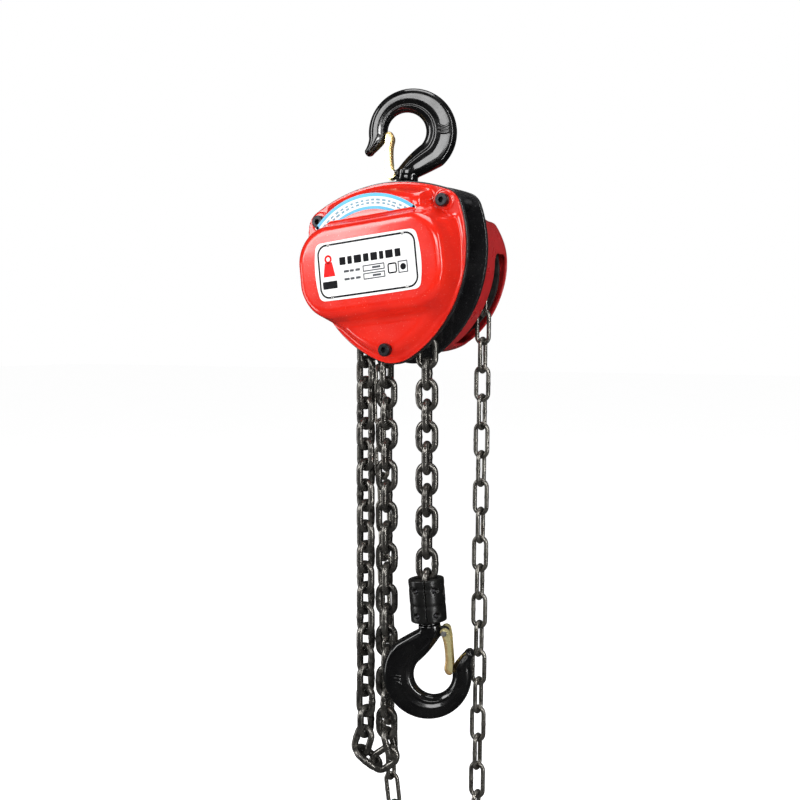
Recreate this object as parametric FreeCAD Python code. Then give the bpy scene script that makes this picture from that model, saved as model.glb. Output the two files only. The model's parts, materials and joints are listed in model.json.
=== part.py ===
"""A one-tonne hand chain hoist, in millimetres.

The origin is the seat of the top hook, where the hoist hangs. X is to the right seen from
the gear cover, Y goes from the gear cover (-Y) to the hand wheel (+Y), and Z is up.

The body is drawn about its shaft, upright, and hangs turned a few degrees, as an unloaded
hoist does. A link chain is a row of separate links.
"""
import FreeCAD, Part
import math
import os
from FreeCAD import Vector

# --- where the main parts are -------------------------------------------------------------
SHAFT_X = -8.3           # shaft axis, left of the top hook's shank
SHAFT_Z = -134.0         # shaft axis, below the top hook's seat
BODY_LEAN = 6.0          # degrees that the unloaded body turns, right side up
LOWER_SEAT_Z = -497.0    # seat of the bottom hook
YOKE_Z = -78.0           # pivot of the yoke that carries the top hook
TOP_HOOK_TURN = 25.0     # degrees that the top hook is swivelled at rest
LOWER_HOOK_TURN = 22.0   # degrees that the bottom hook is swivelled at rest
LOWER_LEAN = 4.3         # degrees that its own weight leans the unloaded bottom hook

# --- chains -------------------------------------------------------------------------------
LOAD_WIRE, LOAD_PITCH, LOAD_WIDTH = 6.0, 18.0, 20.2
HAND_WIRE, HAND_PITCH, HAND_WIDTH = 4.0, 25.0, 15.5
LOAD_POCKETS = 5         # pockets of the load sheave; two links to a pocket
HAND_POCKETS = 7         # pockets of the hand wheel
LINK_SLACK = 0.1         # clearance where two links touch
MAIN_FALL_LINKS = 16     # links of the main fall, the one at the sheave included
LIFTED_LINKS = 4         # links that go up with the bottom hook
MAIN_FALL_TWIST = 14.0   # degrees that the main fall is twisted below the body
SLACK_TWIST = -15.0      # the same for the slack strand
SLACK_LEAN_X = -33.2     # the slack strand, from the shaft
TAIL_X, TAIL_Y = -14.8, 5.0   # the strand that hangs from the tail anchor, from the shaft
SLACK_LINKS = 22         # joints down the slack strand before its loop
LOOP_LINKS = 4           # links that close a load chain loop
HAND_FALL_LINKS = 18     # links down each fall of the hand chain
HAND_LOOP_LINKS = 6      # links that close the hand chain
RIGHT_FALL_LEAN = 0.85   # degrees that the hand chain's falls lean inward
LEFT_FALL_LEAN = 2.0
HAND_PLANE_Y = 55.0      # middle of the hand wheel's groove

# --- plates, covers and bolts -------------------------------------------------------------
PLATE = 4.0              # side plate thickness
GAP = 32.0               # between the side plates
CORNER_X, CORNER_Z, CORNER_R = 58.5, 42.0, 17.0   # upper corners of the body's outline
TOE_Z, TOE_R = -46.0, 36.5                        # its rounded lower end
TOP_ARC_R, SIDE_ARC_R = 150.0, 110.0
BOLT_X, BOLT_Z, LOW_BOLT_Z = 61.0, 48.0, -70.0
WALL = 1.5               # sheet thickness of both covers
BOSS_Y = -53.0           # front face of the gear cover's boss
DECK_Y = -34.0           # its lower deck
DOME_Y = -40.0           # its upper dome
BOSS_HALF_X, BOSS_HALF_Z, BOSS_R = 69.0, 37.0, 33.0
DRUM_Y = 74.0            # rear face of the hand wheel cover
SLOT_Y0, SLOT_Y1 = 42.0, 69.0
PLATE_LABEL_X, PLATE_LABEL_Z = 49.0, 24.5         # half sizes of the nameplate
ARC_LABEL_X, ARC_LABEL_Z, ARC_IN, ARC_OUT = -4.0, -10.0, 58.5, 72.0

# --- gears --------------------------------------------------------------------------------
CENTRES = 36.0           # drive shaft to short shaft
FAST_MODULE, SLOW_MODULE = 1.5, 1.8
PINION_TEETH, DISC_TEETH, SPLINE_TEETH = 8, 40, 32
PROFILE_SHIFT = 0.3      # added to the pinions and taken from the wheels
PRESSURE = math.radians(25.0)
BACKLASH = 0.08
RUN = 0.05               # radial clearance of a running fit

FRONT = -(GAP / 2 + PLATE)       # outer face of the front side plate
REAR = GAP / 2 + PLATE           # outer face of the rear side plate
INNER = GAP / 2
O = Vector(0, 0, 0)
X, Y, Z = Vector(1, 0, 0), Vector(0, 1, 0), Vector(0, 0, 1)


# --- small tools --------------------------------------------------------------------------
def cyl(r, y0, y1, x=0.0, z=0.0):
    """A cylinder along Y."""
    return Part.makeCylinder(r, y1 - y0, Vector(x, y0, z), Y)


def ring(outer, inner, y0, y1, x=0.0, z=0.0):
    return cyl(outer, y0, y1, x, z).cut(cyl(inner, y0 - 1, y1 + 1, x, z))


def box(x0, x1, y0, y1, z0, z1):
    return Part.makeBox(x1 - x0, y1 - y0, z1 - z0, Vector(x0, y0, z0))


def fuse(shapes):
    out = shapes[0]
    if len(shapes) > 1:
        out = out.multiFuse(shapes[1:])
    return out.removeSplitter()


def cut_each(shape, tools):
    for tool in tools:
        shape = shape.cut(tool)
    return shape


def moved(shape, x=0.0, y=0.0, z=0.0):
    out = shape.copy()
    out.translate(Vector(x, y, z))
    return out


def turned(shape, degrees, axis, at=O):
    out = shape.copy()
    out.rotate(at, axis, degrees)
    return out


def hang(shape):
    """From the upright body's own frame, about its shaft, to where it hangs."""
    return moved(turned(shape, BODY_LEAN, -Y), SHAFT_X, 0, SHAFT_Z)


def body_point(x, z):
    """A point of the hanging hoist, in the upright body's own frame."""
    lean = math.radians(BODY_LEAN)
    x, z = x - SHAFT_X, z - SHAFT_Z
    return x * math.cos(lean) + z * math.sin(lean), -x * math.sin(lean) + z * math.cos(lean)


def hex_prism(across, y0, y1, x=0.0, z=0.0):
    r = across / math.sqrt(3)
    points = [Vector(x + r * math.cos(math.radians(60 * n)), y0,
                     z + r * math.sin(math.radians(60 * n))) for n in range(7)]
    return Part.Face(Part.makePolygon(points)).extrude(Vector(0, y1 - y0, 0))


NODES = {}


def keep(name, *solids):
    """One node: a solid, or a group of separate alike solids."""
    flat = []
    for shape in solids:
        flat += shape.Solids
    NODES[name] = flat[0] if len(flat) == 1 else Part.Compound(flat)


# --- outlines in the XZ plane -------------------------------------------------------------
def arc_through(centre, r, a0, a1, y):
    def at(a):
        return Vector(centre[0] + r * math.cos(a), y, centre[1] + r * math.sin(a))
    return Part.Arc(at(a0), at((a0 + a1) / 2), at(a1)).toShape()


def rounded_outline(corners, radii, grow, y):
    """A closed outline of corner arcs joined by larger arcs. Corners go clockwise, as
    (x, z, radius), and each radius joins its corner to the next."""
    count, joins = len(corners), []
    for n in range(count):
        (x1, z1, r1), (x2, z2, r2), big = corners[n], corners[(n + 1) % count], radii[n]
        apart = math.hypot(x2 - x1, z2 - z1)
        ex, ez = (x2 - x1) / apart, (z2 - z1) / apart
        along = ((big - r1) ** 2 - (big - r2) ** 2 + apart ** 2) / (2 * apart)
        off = math.sqrt((big - r1) ** 2 - along ** 2)
        joins.append((x1 + ex * along + ez * off, z1 + ez * along - ex * off))
    edges = []
    for n in range(count):
        x1, z1, r1 = corners[n]
        before, after, big = joins[n - 1], joins[n], radii[n]
        start = math.atan2(z1 - before[1], x1 - before[0])
        end = math.atan2(z1 - after[1], x1 - after[0])
        end -= 2 * math.pi * math.ceil((end - start) / (2 * math.pi) - 1e-9)
        edges.append(arc_through((x1, z1), r1 + grow, start, end, y))
        x2, z2, _ = corners[(n + 1) % count]
        far = math.atan2(z2 - after[1], x2 - after[0])
        far -= 2 * math.pi * math.ceil((far - end) / (2 * math.pi) - 1e-9)
        edges.append(arc_through(after, big + grow, end, far, y))
    return Part.Wire(edges)


def shield(grow, y):
    """The body's outline: two upper corners and a broad rounded toe."""
    corners = [(-CORNER_X, CORNER_Z, CORNER_R), (CORNER_X, CORNER_Z, CORNER_R), (0, TOE_Z, TOE_R)]
    return rounded_outline(corners, [TOP_ARC_R, SIDE_ARC_R, SIDE_ARC_R], grow, y)


def soft_rectangle(half_x, half_z, r, y, bulge=2000.0):
    x, z = half_x - r, half_z - r
    corners = [(-x, z, r), (x, z, r), (x, -z, r), (-x, -z, r)]
    return rounded_outline(corners, [bulge] * 4, 0.0, y)


def slab(wire, thickness):
    return Part.Face(wire).extrude(Vector(0, thickness, 0))


def taper(wire, other):
    return Part.makeLoft([wire, other], True, True)


def screw_places():
    return [(-BOLT_X, BOLT_Z), (BOLT_X, BOLT_Z), (0.0, LOW_BOLT_Z)]


# --- chains -------------------------------------------------------------------------------
def link(wire, pitch, width):
    """One link about its middle: long along Z, wide along X."""
    r = wire / 2 - LINK_SLACK / 2
    bend = (width - wire) / 2
    straight = pitch + wire - 2 * bend
    sides = [Part.makeCylinder(r, straight, Vector(side * bend, 0, -straight / 2), Z)
             for side in (-1, 1)]
    bends = []
    for side in (-1, 1):
        torus = Part.makeTorus(bend, r, Vector(0, 0, side * straight / 2), Y)
        half = box(-width, width, -width, width, 0, side * width) if side > 0 else \
            box(-width, width, -width, width, -width, 0)
        bends.append(torus.common(moved(half, z=side * straight / 2)))
    return fuse(sides + bends)


def placed_link(model, start, end, roll):
    """A link between two joints. A roll of 0 is wide in the XZ plane, and rolls count the same
    way round whether the chain is listed upward or downward."""
    along = (end - start).normalize()
    wide = Y.cross(along).normalize()
    across = along.cross(wide)
    a = math.radians(roll if along.z >= 0 else -roll)
    wide, across = wide * math.cos(a) + across * math.sin(a), across * math.cos(a) - wide * math.sin(a)
    middle = (start + end) * 0.5
    out = model.copy()
    out.Placement = FreeCAD.Placement(FreeCAD.Matrix(
        wide.x, across.x, along.x, middle.x, wide.y, across.y, along.y, middle.y,
        wide.z, across.z, along.z, middle.z, 0, 0, 0, 1))
    return out


def chain(joints, kind, rolls):
    """Links between successive joints, given as (x, z) or (x, y, z)."""
    model, out = link(*kind["size"]), []
    points = [Vector(*j) if len(j) == 3 else Vector(j[0], kind["y"], j[1]) for j in joints]
    for n in range(len(points) - 1):
        out.append(placed_link(model, points[n], points[n + 1], rolls[n]))
    return out


def wheel_joints(pitch, pockets, half_turn):
    """Joints round the top of a pocket wheel, from its right side to its left."""
    step = math.pi / pockets
    r = pitch / (2 * math.sin(step / 2))
    count = pockets if half_turn else 2 * pockets
    return [(r * math.cos(step * (n - 0.5)), r * math.sin(step * (n - 0.5)))
            for n in range(count + 2)]


def closing_joints(start, end, pitch, count):
    """Joints of a loop of equal links that hangs from start to end."""
    span = math.hypot(end[0] - start[0], end[1] - start[1])
    low, high = 1e-3, math.pi / count
    for _ in range(60):
        half = (low + high) / 2
        if math.sin(count * half) / math.sin(half) * pitch > span:
            low = half
        else:
            high = half
    tilt = math.atan2(end[1] - start[1], end[0] - start[0])
    joints, heading = [start], tilt - half * (count - 1)
    for n in range(count):
        x, z = joints[-1]
        joints.append((x + pitch * math.cos(heading), z + pitch * math.sin(heading)))
        heading += 2 * half
    return joints


def apothem(pitch, pockets):
    return pitch / (2 * math.tan(math.pi / pockets / 2))


LOAD_R = apothem(LOAD_PITCH, LOAD_POCKETS)
HAND_R = apothem(HAND_PITCH, HAND_POCKETS)
LOAD = {"size": (LOAD_WIRE, LOAD_PITCH, LOAD_WIDTH), "y": 0.0}
HAND = {"size": (HAND_WIRE, HAND_PITCH, HAND_WIDTH), "y": HAND_PLANE_Y}


def at_shaft(shapes):
    return [moved(s, SHAFT_X, 0, SHAFT_Z) for s in shapes]


def load_chain():
    wrap = wheel_joints(LOAD_PITCH, LOAD_POCKETS, True)
    # odd links lie flat in the pockets, even ones stand on edge between them
    rolls = [90.0 * (n % 2) for n in range(len(wrap) - 1)]
    keep("load_chain_wrap", *at_shaft(chain(wrap, LOAD, rolls)))

    fall = [(LOAD_R, -LOAD_PITCH / 2 - LOAD_PITCH * n) for n in range(MAIN_FALL_LINKS)]
    twist = [MAIN_FALL_TWIST * min(1.0, (n + 1) / 4) for n in range(MAIN_FALL_LINKS - 1)]
    rolls = [90.0 * ((n + 1) % 2) + twist[n] for n in range(MAIN_FALL_LINKS - 1)]
    links = at_shaft(chain(fall, LOAD, rolls))
    keep("load_chain_fall_upper", *links[:-LIFTED_LINKS])
    keep("load_chain_fall_lower", *links[-LIFTED_LINKS:])

    # the slack strand leaves the sheave, is pushed outward over three links, then hangs
    side = SLACK_LEAN_X + LOAD_R
    lean = math.asin(side / (3 * LOAD_PITCH))
    joints = [(-LOAD_R, -LOAD_PITCH / 2)]
    for n in range(SLACK_LINKS):
        x, z = joints[-1]
        tilt = lean if n < 3 else 0.0
        joints.append((x + LOAD_PITCH * math.sin(tilt), z - LOAD_PITCH * math.cos(tilt)))
    foot = joints[-1]
    gap = math.hypot(TAIL_X - foot[0], TAIL_Y)
    loop = [(foot[0] + (TAIL_X - foot[0]) * s / gap, TAIL_Y * s / gap, z)
            for s, z in closing_joints((0.0, foot[1]), (gap, foot[1]), LOAD_PITCH, LOOP_LINKS)]
    tail_count = SLACK_LINKS - 3
    tail = [(TAIL_X, TAIL_Y, foot[1] + LOAD_PITCH * (n + 1)) for n in range(tail_count)]
    route = joints + loop[1:] + tail
    rolls = []
    for n in range(len(route) - 1):
        down = min(1.0, n / 5) * SLACK_TWIST
        up = min(1.0, (len(route) - 2 - n) / 5) * MAIN_FALL_TWIST
        part = min(1.0, max(0.0, (n - SLACK_LINKS + 4) / 10))
        rolls.append(90.0 * (n % 2) + down * (1 - part) + up * part)
    keep("load_chain_slack", *at_shaft(chain(route, LOAD, rolls)))
    return TAIL_X, route[-1][2]


def hand_chain():
    wrap = wheel_joints(HAND_PITCH, HAND_POCKETS, True)
    rolls = [90.0 * (n % 2) for n in range(len(wrap) - 1)]
    keep("hand_chain_wrap", *at_shaft(chain(wrap, HAND, rolls)))

    def fall(side, lean):
        dx, dz = -side * math.sin(math.radians(lean)), -math.cos(math.radians(lean))
        return [(side * HAND_R + HAND_PITCH * n * dx, -HAND_PITCH / 2 + HAND_PITCH * n * dz)
                for n in range(HAND_FALL_LINKS + 1)]
    right, left = fall(1, RIGHT_FALL_LEAN), fall(-1, LEFT_FALL_LEAN)
    loop = closing_joints(left[-1], right[-1], HAND_PITCH, HAND_LOOP_LINKS)
    route = left + loop[1:-1] + right[::-1]
    rolls = [90.0 * (n % 2) for n in range(len(route) - 1)]
    keep("hand_chain", *at_shaft(chain(route, HAND, rolls)))


# --- gears --------------------------------------------------------------------------------
def involute(angle):
    return math.tan(angle) - angle


def gear(teeth, module, shift, first, y0, y1):
    """An involute spur gear along Y, with one tooth centred at the angle first."""
    pitch_r = module * teeth / 2
    base = pitch_r * math.cos(PRESSURE)
    tip = pitch_r + module * (0.85 + shift)
    root = pitch_r - module * (1.25 - shift)
    thick = module * (math.pi / 2 + 2 * shift * math.tan(PRESSURE)) - BACKLASH

    def half_angle(r):
        r = max(r, base)
        return thick / (2 * pitch_r) + involute(PRESSURE) - involute(math.acos(base / r))

    def at(r, a):
        return Vector(r * math.cos(a), y0, r * math.sin(a))
    low = max(base, root)
    edges = []
    for n in range(teeth):
        c = math.radians(first) + 2 * math.pi * n / teeth
        following = c + 2 * math.pi / teeth
        r_mid = (low + tip) / 2
        rising = [at(low, c - half_angle(low)), at(r_mid, c - half_angle(r_mid)),
                  at(tip, c - half_angle(tip))]
        falling = [at(tip, c + half_angle(tip)), at(r_mid, c + half_angle(r_mid)),
                   at(low, c + half_angle(low))]
        if low > root:
            edges.append(Part.makeLine(at(root, c - half_angle(low)), rising[0]))
        edges.append(Part.Arc(*rising).toShape())
        edges.append(Part.Arc(rising[2], at(tip, c), falling[0]).toShape())
        edges.append(Part.Arc(*falling).toShape())
        if low > root:
            edges.append(Part.makeLine(falling[2], at(root, c + half_angle(low))))
        valley = at(root, (c + following) / 2)
        edges.append(Part.Arc(at(root, c + half_angle(low)), valley,
                              at(root, following - half_angle(low))).toShape())
    return Part.Face(Part.Wire(edges)).extrude(Vector(0, y1 - y0, 0))


GEAR_PLATE_Y0, GEAR_PLATE_Y1 = -35.0, -32.5
SPLINE_R, SPLINE_FLAT = 13.5, 12.0
SLOW_Y0, SLOW_Y1 = -29.5, -21.5
FAST_Y0, FAST_Y1 = -44.0, -36.0


def gear_train():
    half_tooth = 180.0 / PINION_TEETH
    for side, name in ((1, "right"), (-1, "left")):
        x = side * CENTRES
        pinion = gear(PINION_TEETH, SLOW_MODULE, PROFILE_SHIFT, half_tooth, SLOW_Y0, SLOW_Y1)
        keep("short_shaft_" + name, hang(moved(short_shaft(pinion), x)))
        wheel = gear(DISC_TEETH, FAST_MODULE, -PROFILE_SHIFT, 180.0 / DISC_TEETH, FAST_Y0, FAST_Y1)
        wheel = fuse([wheel.cut(cyl(24.0, FAST_Y0 - 1, FAST_Y0 + 2)), cyl(10.0, FAST_Y0, FAST_Y1)])
        wheel = wheel.cut(keyed(5.0 + 0.02, FAST_Y0 - 1, FAST_Y1 + 1, 4.0 + 0.02))
        holes = [cyl(4.0, FAST_Y0 - 1, FAST_Y1 + 1, 17 * math.cos(math.radians(a)),
                     17 * math.sin(math.radians(a))) for a in range(30, 390, 60)]
        keep("disc_gear_" + name, hang(moved(cut_each(wheel, holes), x)))
    spline = gear(SPLINE_TEETH, SLOW_MODULE, -PROFILE_SHIFT, 0.0, SLOW_Y0, SLOW_Y1)
    seat = keyed(SPLINE_R + 0.03, SLOW_Y0 - 1, SLOW_Y1 + 1, SPLINE_FLAT + 0.03)
    keep("spline_gear", hang(spline.cut(seat)))


def keyed(r, y0, y1, flat):
    """A round bar with two flats."""
    return cyl(r, y0, y1).common(box(-flat, flat, y0, y1, -r - 1, r + 1))


def short_shaft(pinion):
    front_seat = keyed(5.0, FAST_Y0 - 0.5, GEAR_PLATE_Y0 - 0.5, 4.0)
    journals = cyl(5.0, GEAR_PLATE_Y0 - 0.5, SLOW_Y0), cyl(5.0, SLOW_Y1, -INNER - 0.5)
    return fuse([pinion, front_seat, *journals])


# --- frame --------------------------------------------------------------------------------
BUSH_R, JOURNAL_R = 20.0, 15.45
SHORT_BUSH_R = 7.5
TRUNNION_R = 7.0
GUIDE_X, GUIDE_Z, GUIDE_R, GUIDE_PIN_R = 48.5, -5.0, 9.0, 4.0
STUDS = [(0.0, 36.0), (-22.0, -29.5), (22.0, -29.5)]
PAWLS = [(-34.0, 27.0), (34.0, -27.0)]
PAWL_PIN_R = 4.0


def guide_places():
    return [(GUIDE_X, GUIDE_Z), (-GUIDE_X - 0.5, -GUIDE_Z)]


def side_plates(anchor):
    yoke = body_point(0, YOKE_Z)
    shared = [cyl(TRUNNION_R + RUN, -60, 60, *yoke), cyl(3.02, -60, 60, *anchor)]
    shared += [cyl(4.02, -60, 60, x, z) for x, z in screw_places()]
    shared += [cyl(GUIDE_PIN_R + 0.02, -60, 60, x, z) for x, z in guide_places()]
    shared.append(cyl(BUSH_R + 0.02, -60, 60))
    front = slab(shield(0.0, FRONT), PLATE)
    own = [cyl(SHORT_BUSH_R + 0.02, -60, 60, side * CENTRES, 0) for side in (-1, 1)]
    own += [cyl(2.52, -60, 60, x, z) for x, z in STUDS]
    keep("front_side_plate", hang(cut_each(front, shared + own)))
    rear = slab(shield(0.0, INNER), PLATE)
    own = [cyl(PAWL_PIN_R + 0.02, -60, 60, x, z) for x, z in PAWLS]
    keep("rear_side_plate", hang(cut_each(rear, shared + own)))


def fasteners(anchor):
    bolts, nuts = [], []
    for x, z in screw_places():
        bolt = fuse([cyl(7.0, -INNER, INNER, x, z), cyl(4.0, FRONT, REAR + 9.0, x, z)])
        bolts.append(hang(bolt.cut(cyl(2.53, FRONT - 1, FRONT + 11.0, x, z))))
        nut = hex_prism(13.0, REAR + WALL, REAR + WALL + 6.5, x, z)
        nut = nut.common(cyl(7.3, REAR, REAR + 20, x, z))
        nuts.append(hang(nut.cut(cyl(4.03, REAR, REAR + 20, x, z))))
    keep("stay_bolts", *bolts)
    keep("wheel_cover_nuts", *nuts)
    screws = []
    for (x, z), seat in zip(screw_places(), (PAD_Y, PAD_Y, DECK_Y)):
        head = cyl(5.5, seat - 5.0, seat, x, z)
        head = head.makeFillet(0.8, [e for e in head.Edges if e.BoundBox.YMax < seat - 4.9])
        screw = fuse([head, cyl(2.5, seat - 1, FRONT + 10.0, x, z)])
        socket = hex_prism(4.6, seat - 6.0, seat - 2.0, x, z)
        screws.append(hang(screw.cut(socket)))
    keep("gear_cover_screws", *screws)
    studs = []
    for x, z in STUDS:
        stud = fuse([cyl(4.0, GEAR_PLATE_Y1, FRONT, x, z),
                     cyl(2.5, GEAR_PLATE_Y0, FRONT + PLATE, x, z)])
        studs.append(hang(stud))
    keep("gear_plate_studs", *studs)
    keep("tail_anchor_pin", hang(cyl(3.0, FRONT, REAR, *anchor)))
    pins, rollers = [], ("guide_roller_right", "guide_roller_left")
    for (x, z), name in zip(guide_places(), rollers):
        pins.append(hang(cyl(GUIDE_PIN_R, FRONT, REAR, x, z)))
        roller = ring(GUIDE_R, GUIDE_PIN_R + RUN, -INNER + 0.5, INNER - 0.5, x, z)
        keep(name, hang(roller.cut(ring(GUIDE_R + 1, GUIDE_R - 1.5, -3.5, 3.5, x, z))))
    keep("guide_roller_pins", *pins)


def gear_plate():
    blank = rounded_outline([(-36, 8, 12), (36, 8, 12), (22, -29.5, 7), (-22, -29.5, 7)],
                            [300.0] * 4, 0.0, GEAR_PLATE_Y0)
    top = rounded_outline([(-12, 34, 8), (12, 34, 8), (30, 0, 8), (-30, 0, 8)],
                          [400.0] * 4, 0.0, GEAR_PLATE_Y0)
    thick = GEAR_PLATE_Y1 - GEAR_PLATE_Y0
    plate = fuse([slab(blank, thick), slab(top, thick)])
    holes = [cyl(2.52, -60, 0, x, z) for x, z in STUDS]
    holes += [cyl(SHORT_BUSH_R + 0.02, -60, 0, side * CENTRES, 0) for side in (-1, 1)]
    holes.append(cyl(10.02, -60, 0))
    keep("outer_gear_plate", hang(cut_each(plate, holes)))
    bushes = []
    for side in (-1, 1):
        for y0, y1 in ((GEAR_PLATE_Y0, GEAR_PLATE_Y1), (FRONT, -INNER)):
            bushes.append(hang(ring(SHORT_BUSH_R, 5.0 + RUN, y0, y1, side * CENTRES, 0)))
    keep("short_shaft_bushes", *bushes)
    keep("drive_shaft_bush", hang(ring(10.0, 7.5 + RUN, GEAR_PLATE_Y0, GEAR_PLATE_Y1)))
    keep("sheave_bushes", hang(ring(BUSH_R, JOURNAL_R + RUN, FRONT, -INNER)),
         hang(ring(BUSH_R, JOURNAL_R + RUN, INNER, REAR)))


def chain_stripper():
    block = box(-13, 13, -INNER, INNER, -50, -36)
    block = block.cut(cyl(35.6, -60, 60))
    foot = block.Solids[0]
    finger = box(-4, 4, -2.6, 2.6, -45, -19).cut(cyl(18.2, -60, 60))
    body = fuse([foot, finger])
    # it keeps the chain apart below the sheave, so it stands upright under it
    keep("chain_stripper", moved(body, SHAFT_X, 0, SHAFT_Z))


# --- covers -------------------------------------------------------------------------------
PAD_Y = FRONT - 3.5


def gear_cover_block(inset):
    """The gear cover's outer form, or its cavity when inset is the wall's thickness."""
    back = FRONT + (1.0 if inset else 0.0)
    deck = taper(shield(-6.0 - inset, back), shield(-12.0 - inset, DECK_Y + inset))
    boss = taper(soft_rectangle(71 - inset, 46 - inset, 36 - inset, FRONT - 6 + inset),
                 soft_rectangle(BOSS_HALF_X - inset, BOSS_HALF_Z - inset, BOSS_R - inset,
                                BOSS_Y + inset))
    foot = taper(soft_rectangle(71 - inset, 46 - inset, 36 - inset, back),
                 soft_rectangle(71 - inset, 46 - inset, 36 - inset, FRONT - 6 + inset))
    dome = taper(shield(-7.0 - inset, back), shield(-13.0 - inset, DOME_Y + inset))
    window = taper(soft_rectangle(54 - inset, 90 - inset, 12, back - 0.5),
                   soft_rectangle(46 - inset, 90 - inset, 12, DOME_Y - 1))
    dome = dome.common(window).common(box(-90, 90, -90, 0, 10, 90))
    pads = [cyl(17.0 + inset, -90, FRONT - WALL if not inset else 0, side * BOLT_X, BOLT_Z)
            for side in (-1, 1)]
    deck = cut_each(deck, pads)
    if not inset:
        boss = boss.makeFillet(5.0, [e for e in boss.Edges if e.BoundBox.YMax < BOSS_Y + 0.01])
    return fuse([deck, foot.common(slab(shield(-4.0 - inset, back - 20), 30)), boss, dome])


def gear_cover():
    outer = gear_cover_block(0.0)
    flange = slab(shield(-2.5, FRONT - WALL), WALL)
    pads = [cyl(8.0, PAD_Y, FRONT, side * BOLT_X, BOLT_Z) for side in (-1, 1)]
    outer = fuse([outer, flange, *pads])
    holes = [cyl(2.8, -90, 0, x, z) for x, z in screw_places()]
    cover = outer.cut(gear_cover_block(WALL))
    keep("gear_cover", hang(cut_each(cover, holes)))

    label = slab(rounded_outline([(6 - PLATE_LABEL_X, PLATE_LABEL_Z - 6, 6),
                                  (PLATE_LABEL_X - 6, PLATE_LABEL_Z - 6, 6),
                                  (PLATE_LABEL_X - 6, 6 - PLATE_LABEL_Z, 6),
                                  (6 - PLATE_LABEL_X, 6 - PLATE_LABEL_Z, 6)],
                                 [2000.0, 90.0, 2000.0, 90.0], 0.0, BOSS_Y - 0.6), 0.6)
    keep("nameplate", hang(label))
    rivets = []
    for x in (-36.0, 36.0):
        for z in (-PLATE_LABEL_Z + 2.6, PLATE_LABEL_Z - 2.6):
            ball = Part.makeSphere(1.6, Vector(x, BOSS_Y + 0.2, z))
            rivets.append(hang(ball.common(box(-90, 90, BOSS_Y - 3, BOSS_Y - 0.6, -90, 90))))
    keep("nameplate_rivets", *rivets)
    face = ring(ARC_OUT, ARC_IN, DOME_Y - 0.4, DOME_Y, ARC_LABEL_X, ARC_LABEL_Z)
    wedge = [Vector(ARC_LABEL_X, DOME_Y - 1, ARC_LABEL_Z)]
    for a in (136.0, 90.0, 48.0):
        wedge.append(Vector(ARC_LABEL_X + 120 * math.cos(math.radians(a)), DOME_Y - 1,
                            ARC_LABEL_Z + 120 * math.sin(math.radians(a))))
    wedge.append(wedge[0])
    face = face.common(Part.Face(Part.makePolygon(wedge)).extrude(3 * Y))
    keep("arc_label", hang(face.cut(outer)))


def drum_block(inset):
    """The hand wheel cover's outer form, or its cavity."""
    front = REAR - (1.0 if inset else 0.0)
    form = taper(shield(-3.0 - inset, front), shield(-6.0 - inset, DRUM_Y - inset))
    near = REAR - 3.0 if inset else REAR + WALL
    recess = [cyl(12.5 + inset, near, 90, side * (BOLT_X + 2), BOLT_Z + 2) for side in (-1, 1)]
    recess.append(cyl(11.2 + inset, near, REAR + 14.0 + inset, 0, LOW_BOLT_Z - 3.5))
    return cut_each(form, recess)


def hand_wheel_cover():
    flange = slab(shield(-1.5, REAR), WALL)
    shell = fuse([drum_block(0.0), flange]).cut(drum_block(WALL))
    slots = []
    for side in (-1, 1):
        tool = box(min(side * 26, side * 95), max(side * 26, side * 95), SLOT_Y0, SLOT_Y1, -95, 4)
        tool = tool.makeFillet(9.0, [e for e in tool.Edges
                                     if abs(e.BoundBox.ZLength) < 0.1 and e.BoundBox.XLength > 50
                                     and e.BoundBox.ZMin > 0])
        slots.append(tool)
    hub = cyl(24.0, DRUM_Y - WALL, DRUM_Y + 1.5)
    hub = hub.makeFillet(1.4, [e for e in hub.Edges if e.BoundBox.YMin > DRUM_Y + 1.4])
    holes = [cyl(4.2, REAR - 1, REAR + 5, x, z) for x, z in screw_places()]
    keep("hand_wheel_cover", hang(fuse([cut_each(shell, slots + holes), hub])))


# --- drive, brake and sheave --------------------------------------------------------------
FACING_R = 28.0


def drive():
    pinion = gear(PINION_TEETH, FAST_MODULE, PROFILE_SHIFT, 0.0, FAST_Y0 - 0.5, FAST_Y1 + 0.4)
    shaft = fuse([pinion, cyl(7.5, FAST_Y1 + 0.4, 21.0), cyl(7.0, 21.0, 57.5), cyl(6.0, 57.5, 71.0)])
    hole = Part.makeCylinder(1.3, 30, Vector(-15, 66.3, 0), X)
    keep("drive_shaft", hang(shaft.cut(hole)))
    hub = fuse([cyl(FACING_R, 22.0, 26.0), cyl(14.0, 26.0, 37.0)]).cut(cyl(7.03, 20, 40))
    keep("brake_hub", hang(hub))
    keep("friction_discs", hang(ring(FACING_R, 15.0, 26.03, 28.5)),
         hang(ring(FACING_R, 15.0, 34.55, 37.0)))
    nut = hex_prism(19.0, 60.0, 67.5).common(cyl(10.5, 59, 70)).fuse(cyl(8.4, 60.0, 69.5))
    slots = [turned(box(-12, 12, 64.7, 72, -1.6, 1.6), a, Y) for a in (0, 60, 120)]
    nut = cut_each(nut.fuse(cyl(11.5, 58.0, 60.0)), slots + [cyl(6.03, 50, 80)])
    keep("castle_nut", hang(nut))
    head = Part.makeTorus(2.2, 0.9, Vector(-13.2, 66.3, 0), Z)
    keep("split_pin", hang(fuse([head, Part.makeCylinder(1.2, 24.0, Vector(-12.0, 66.3, 0), X)])))


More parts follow.
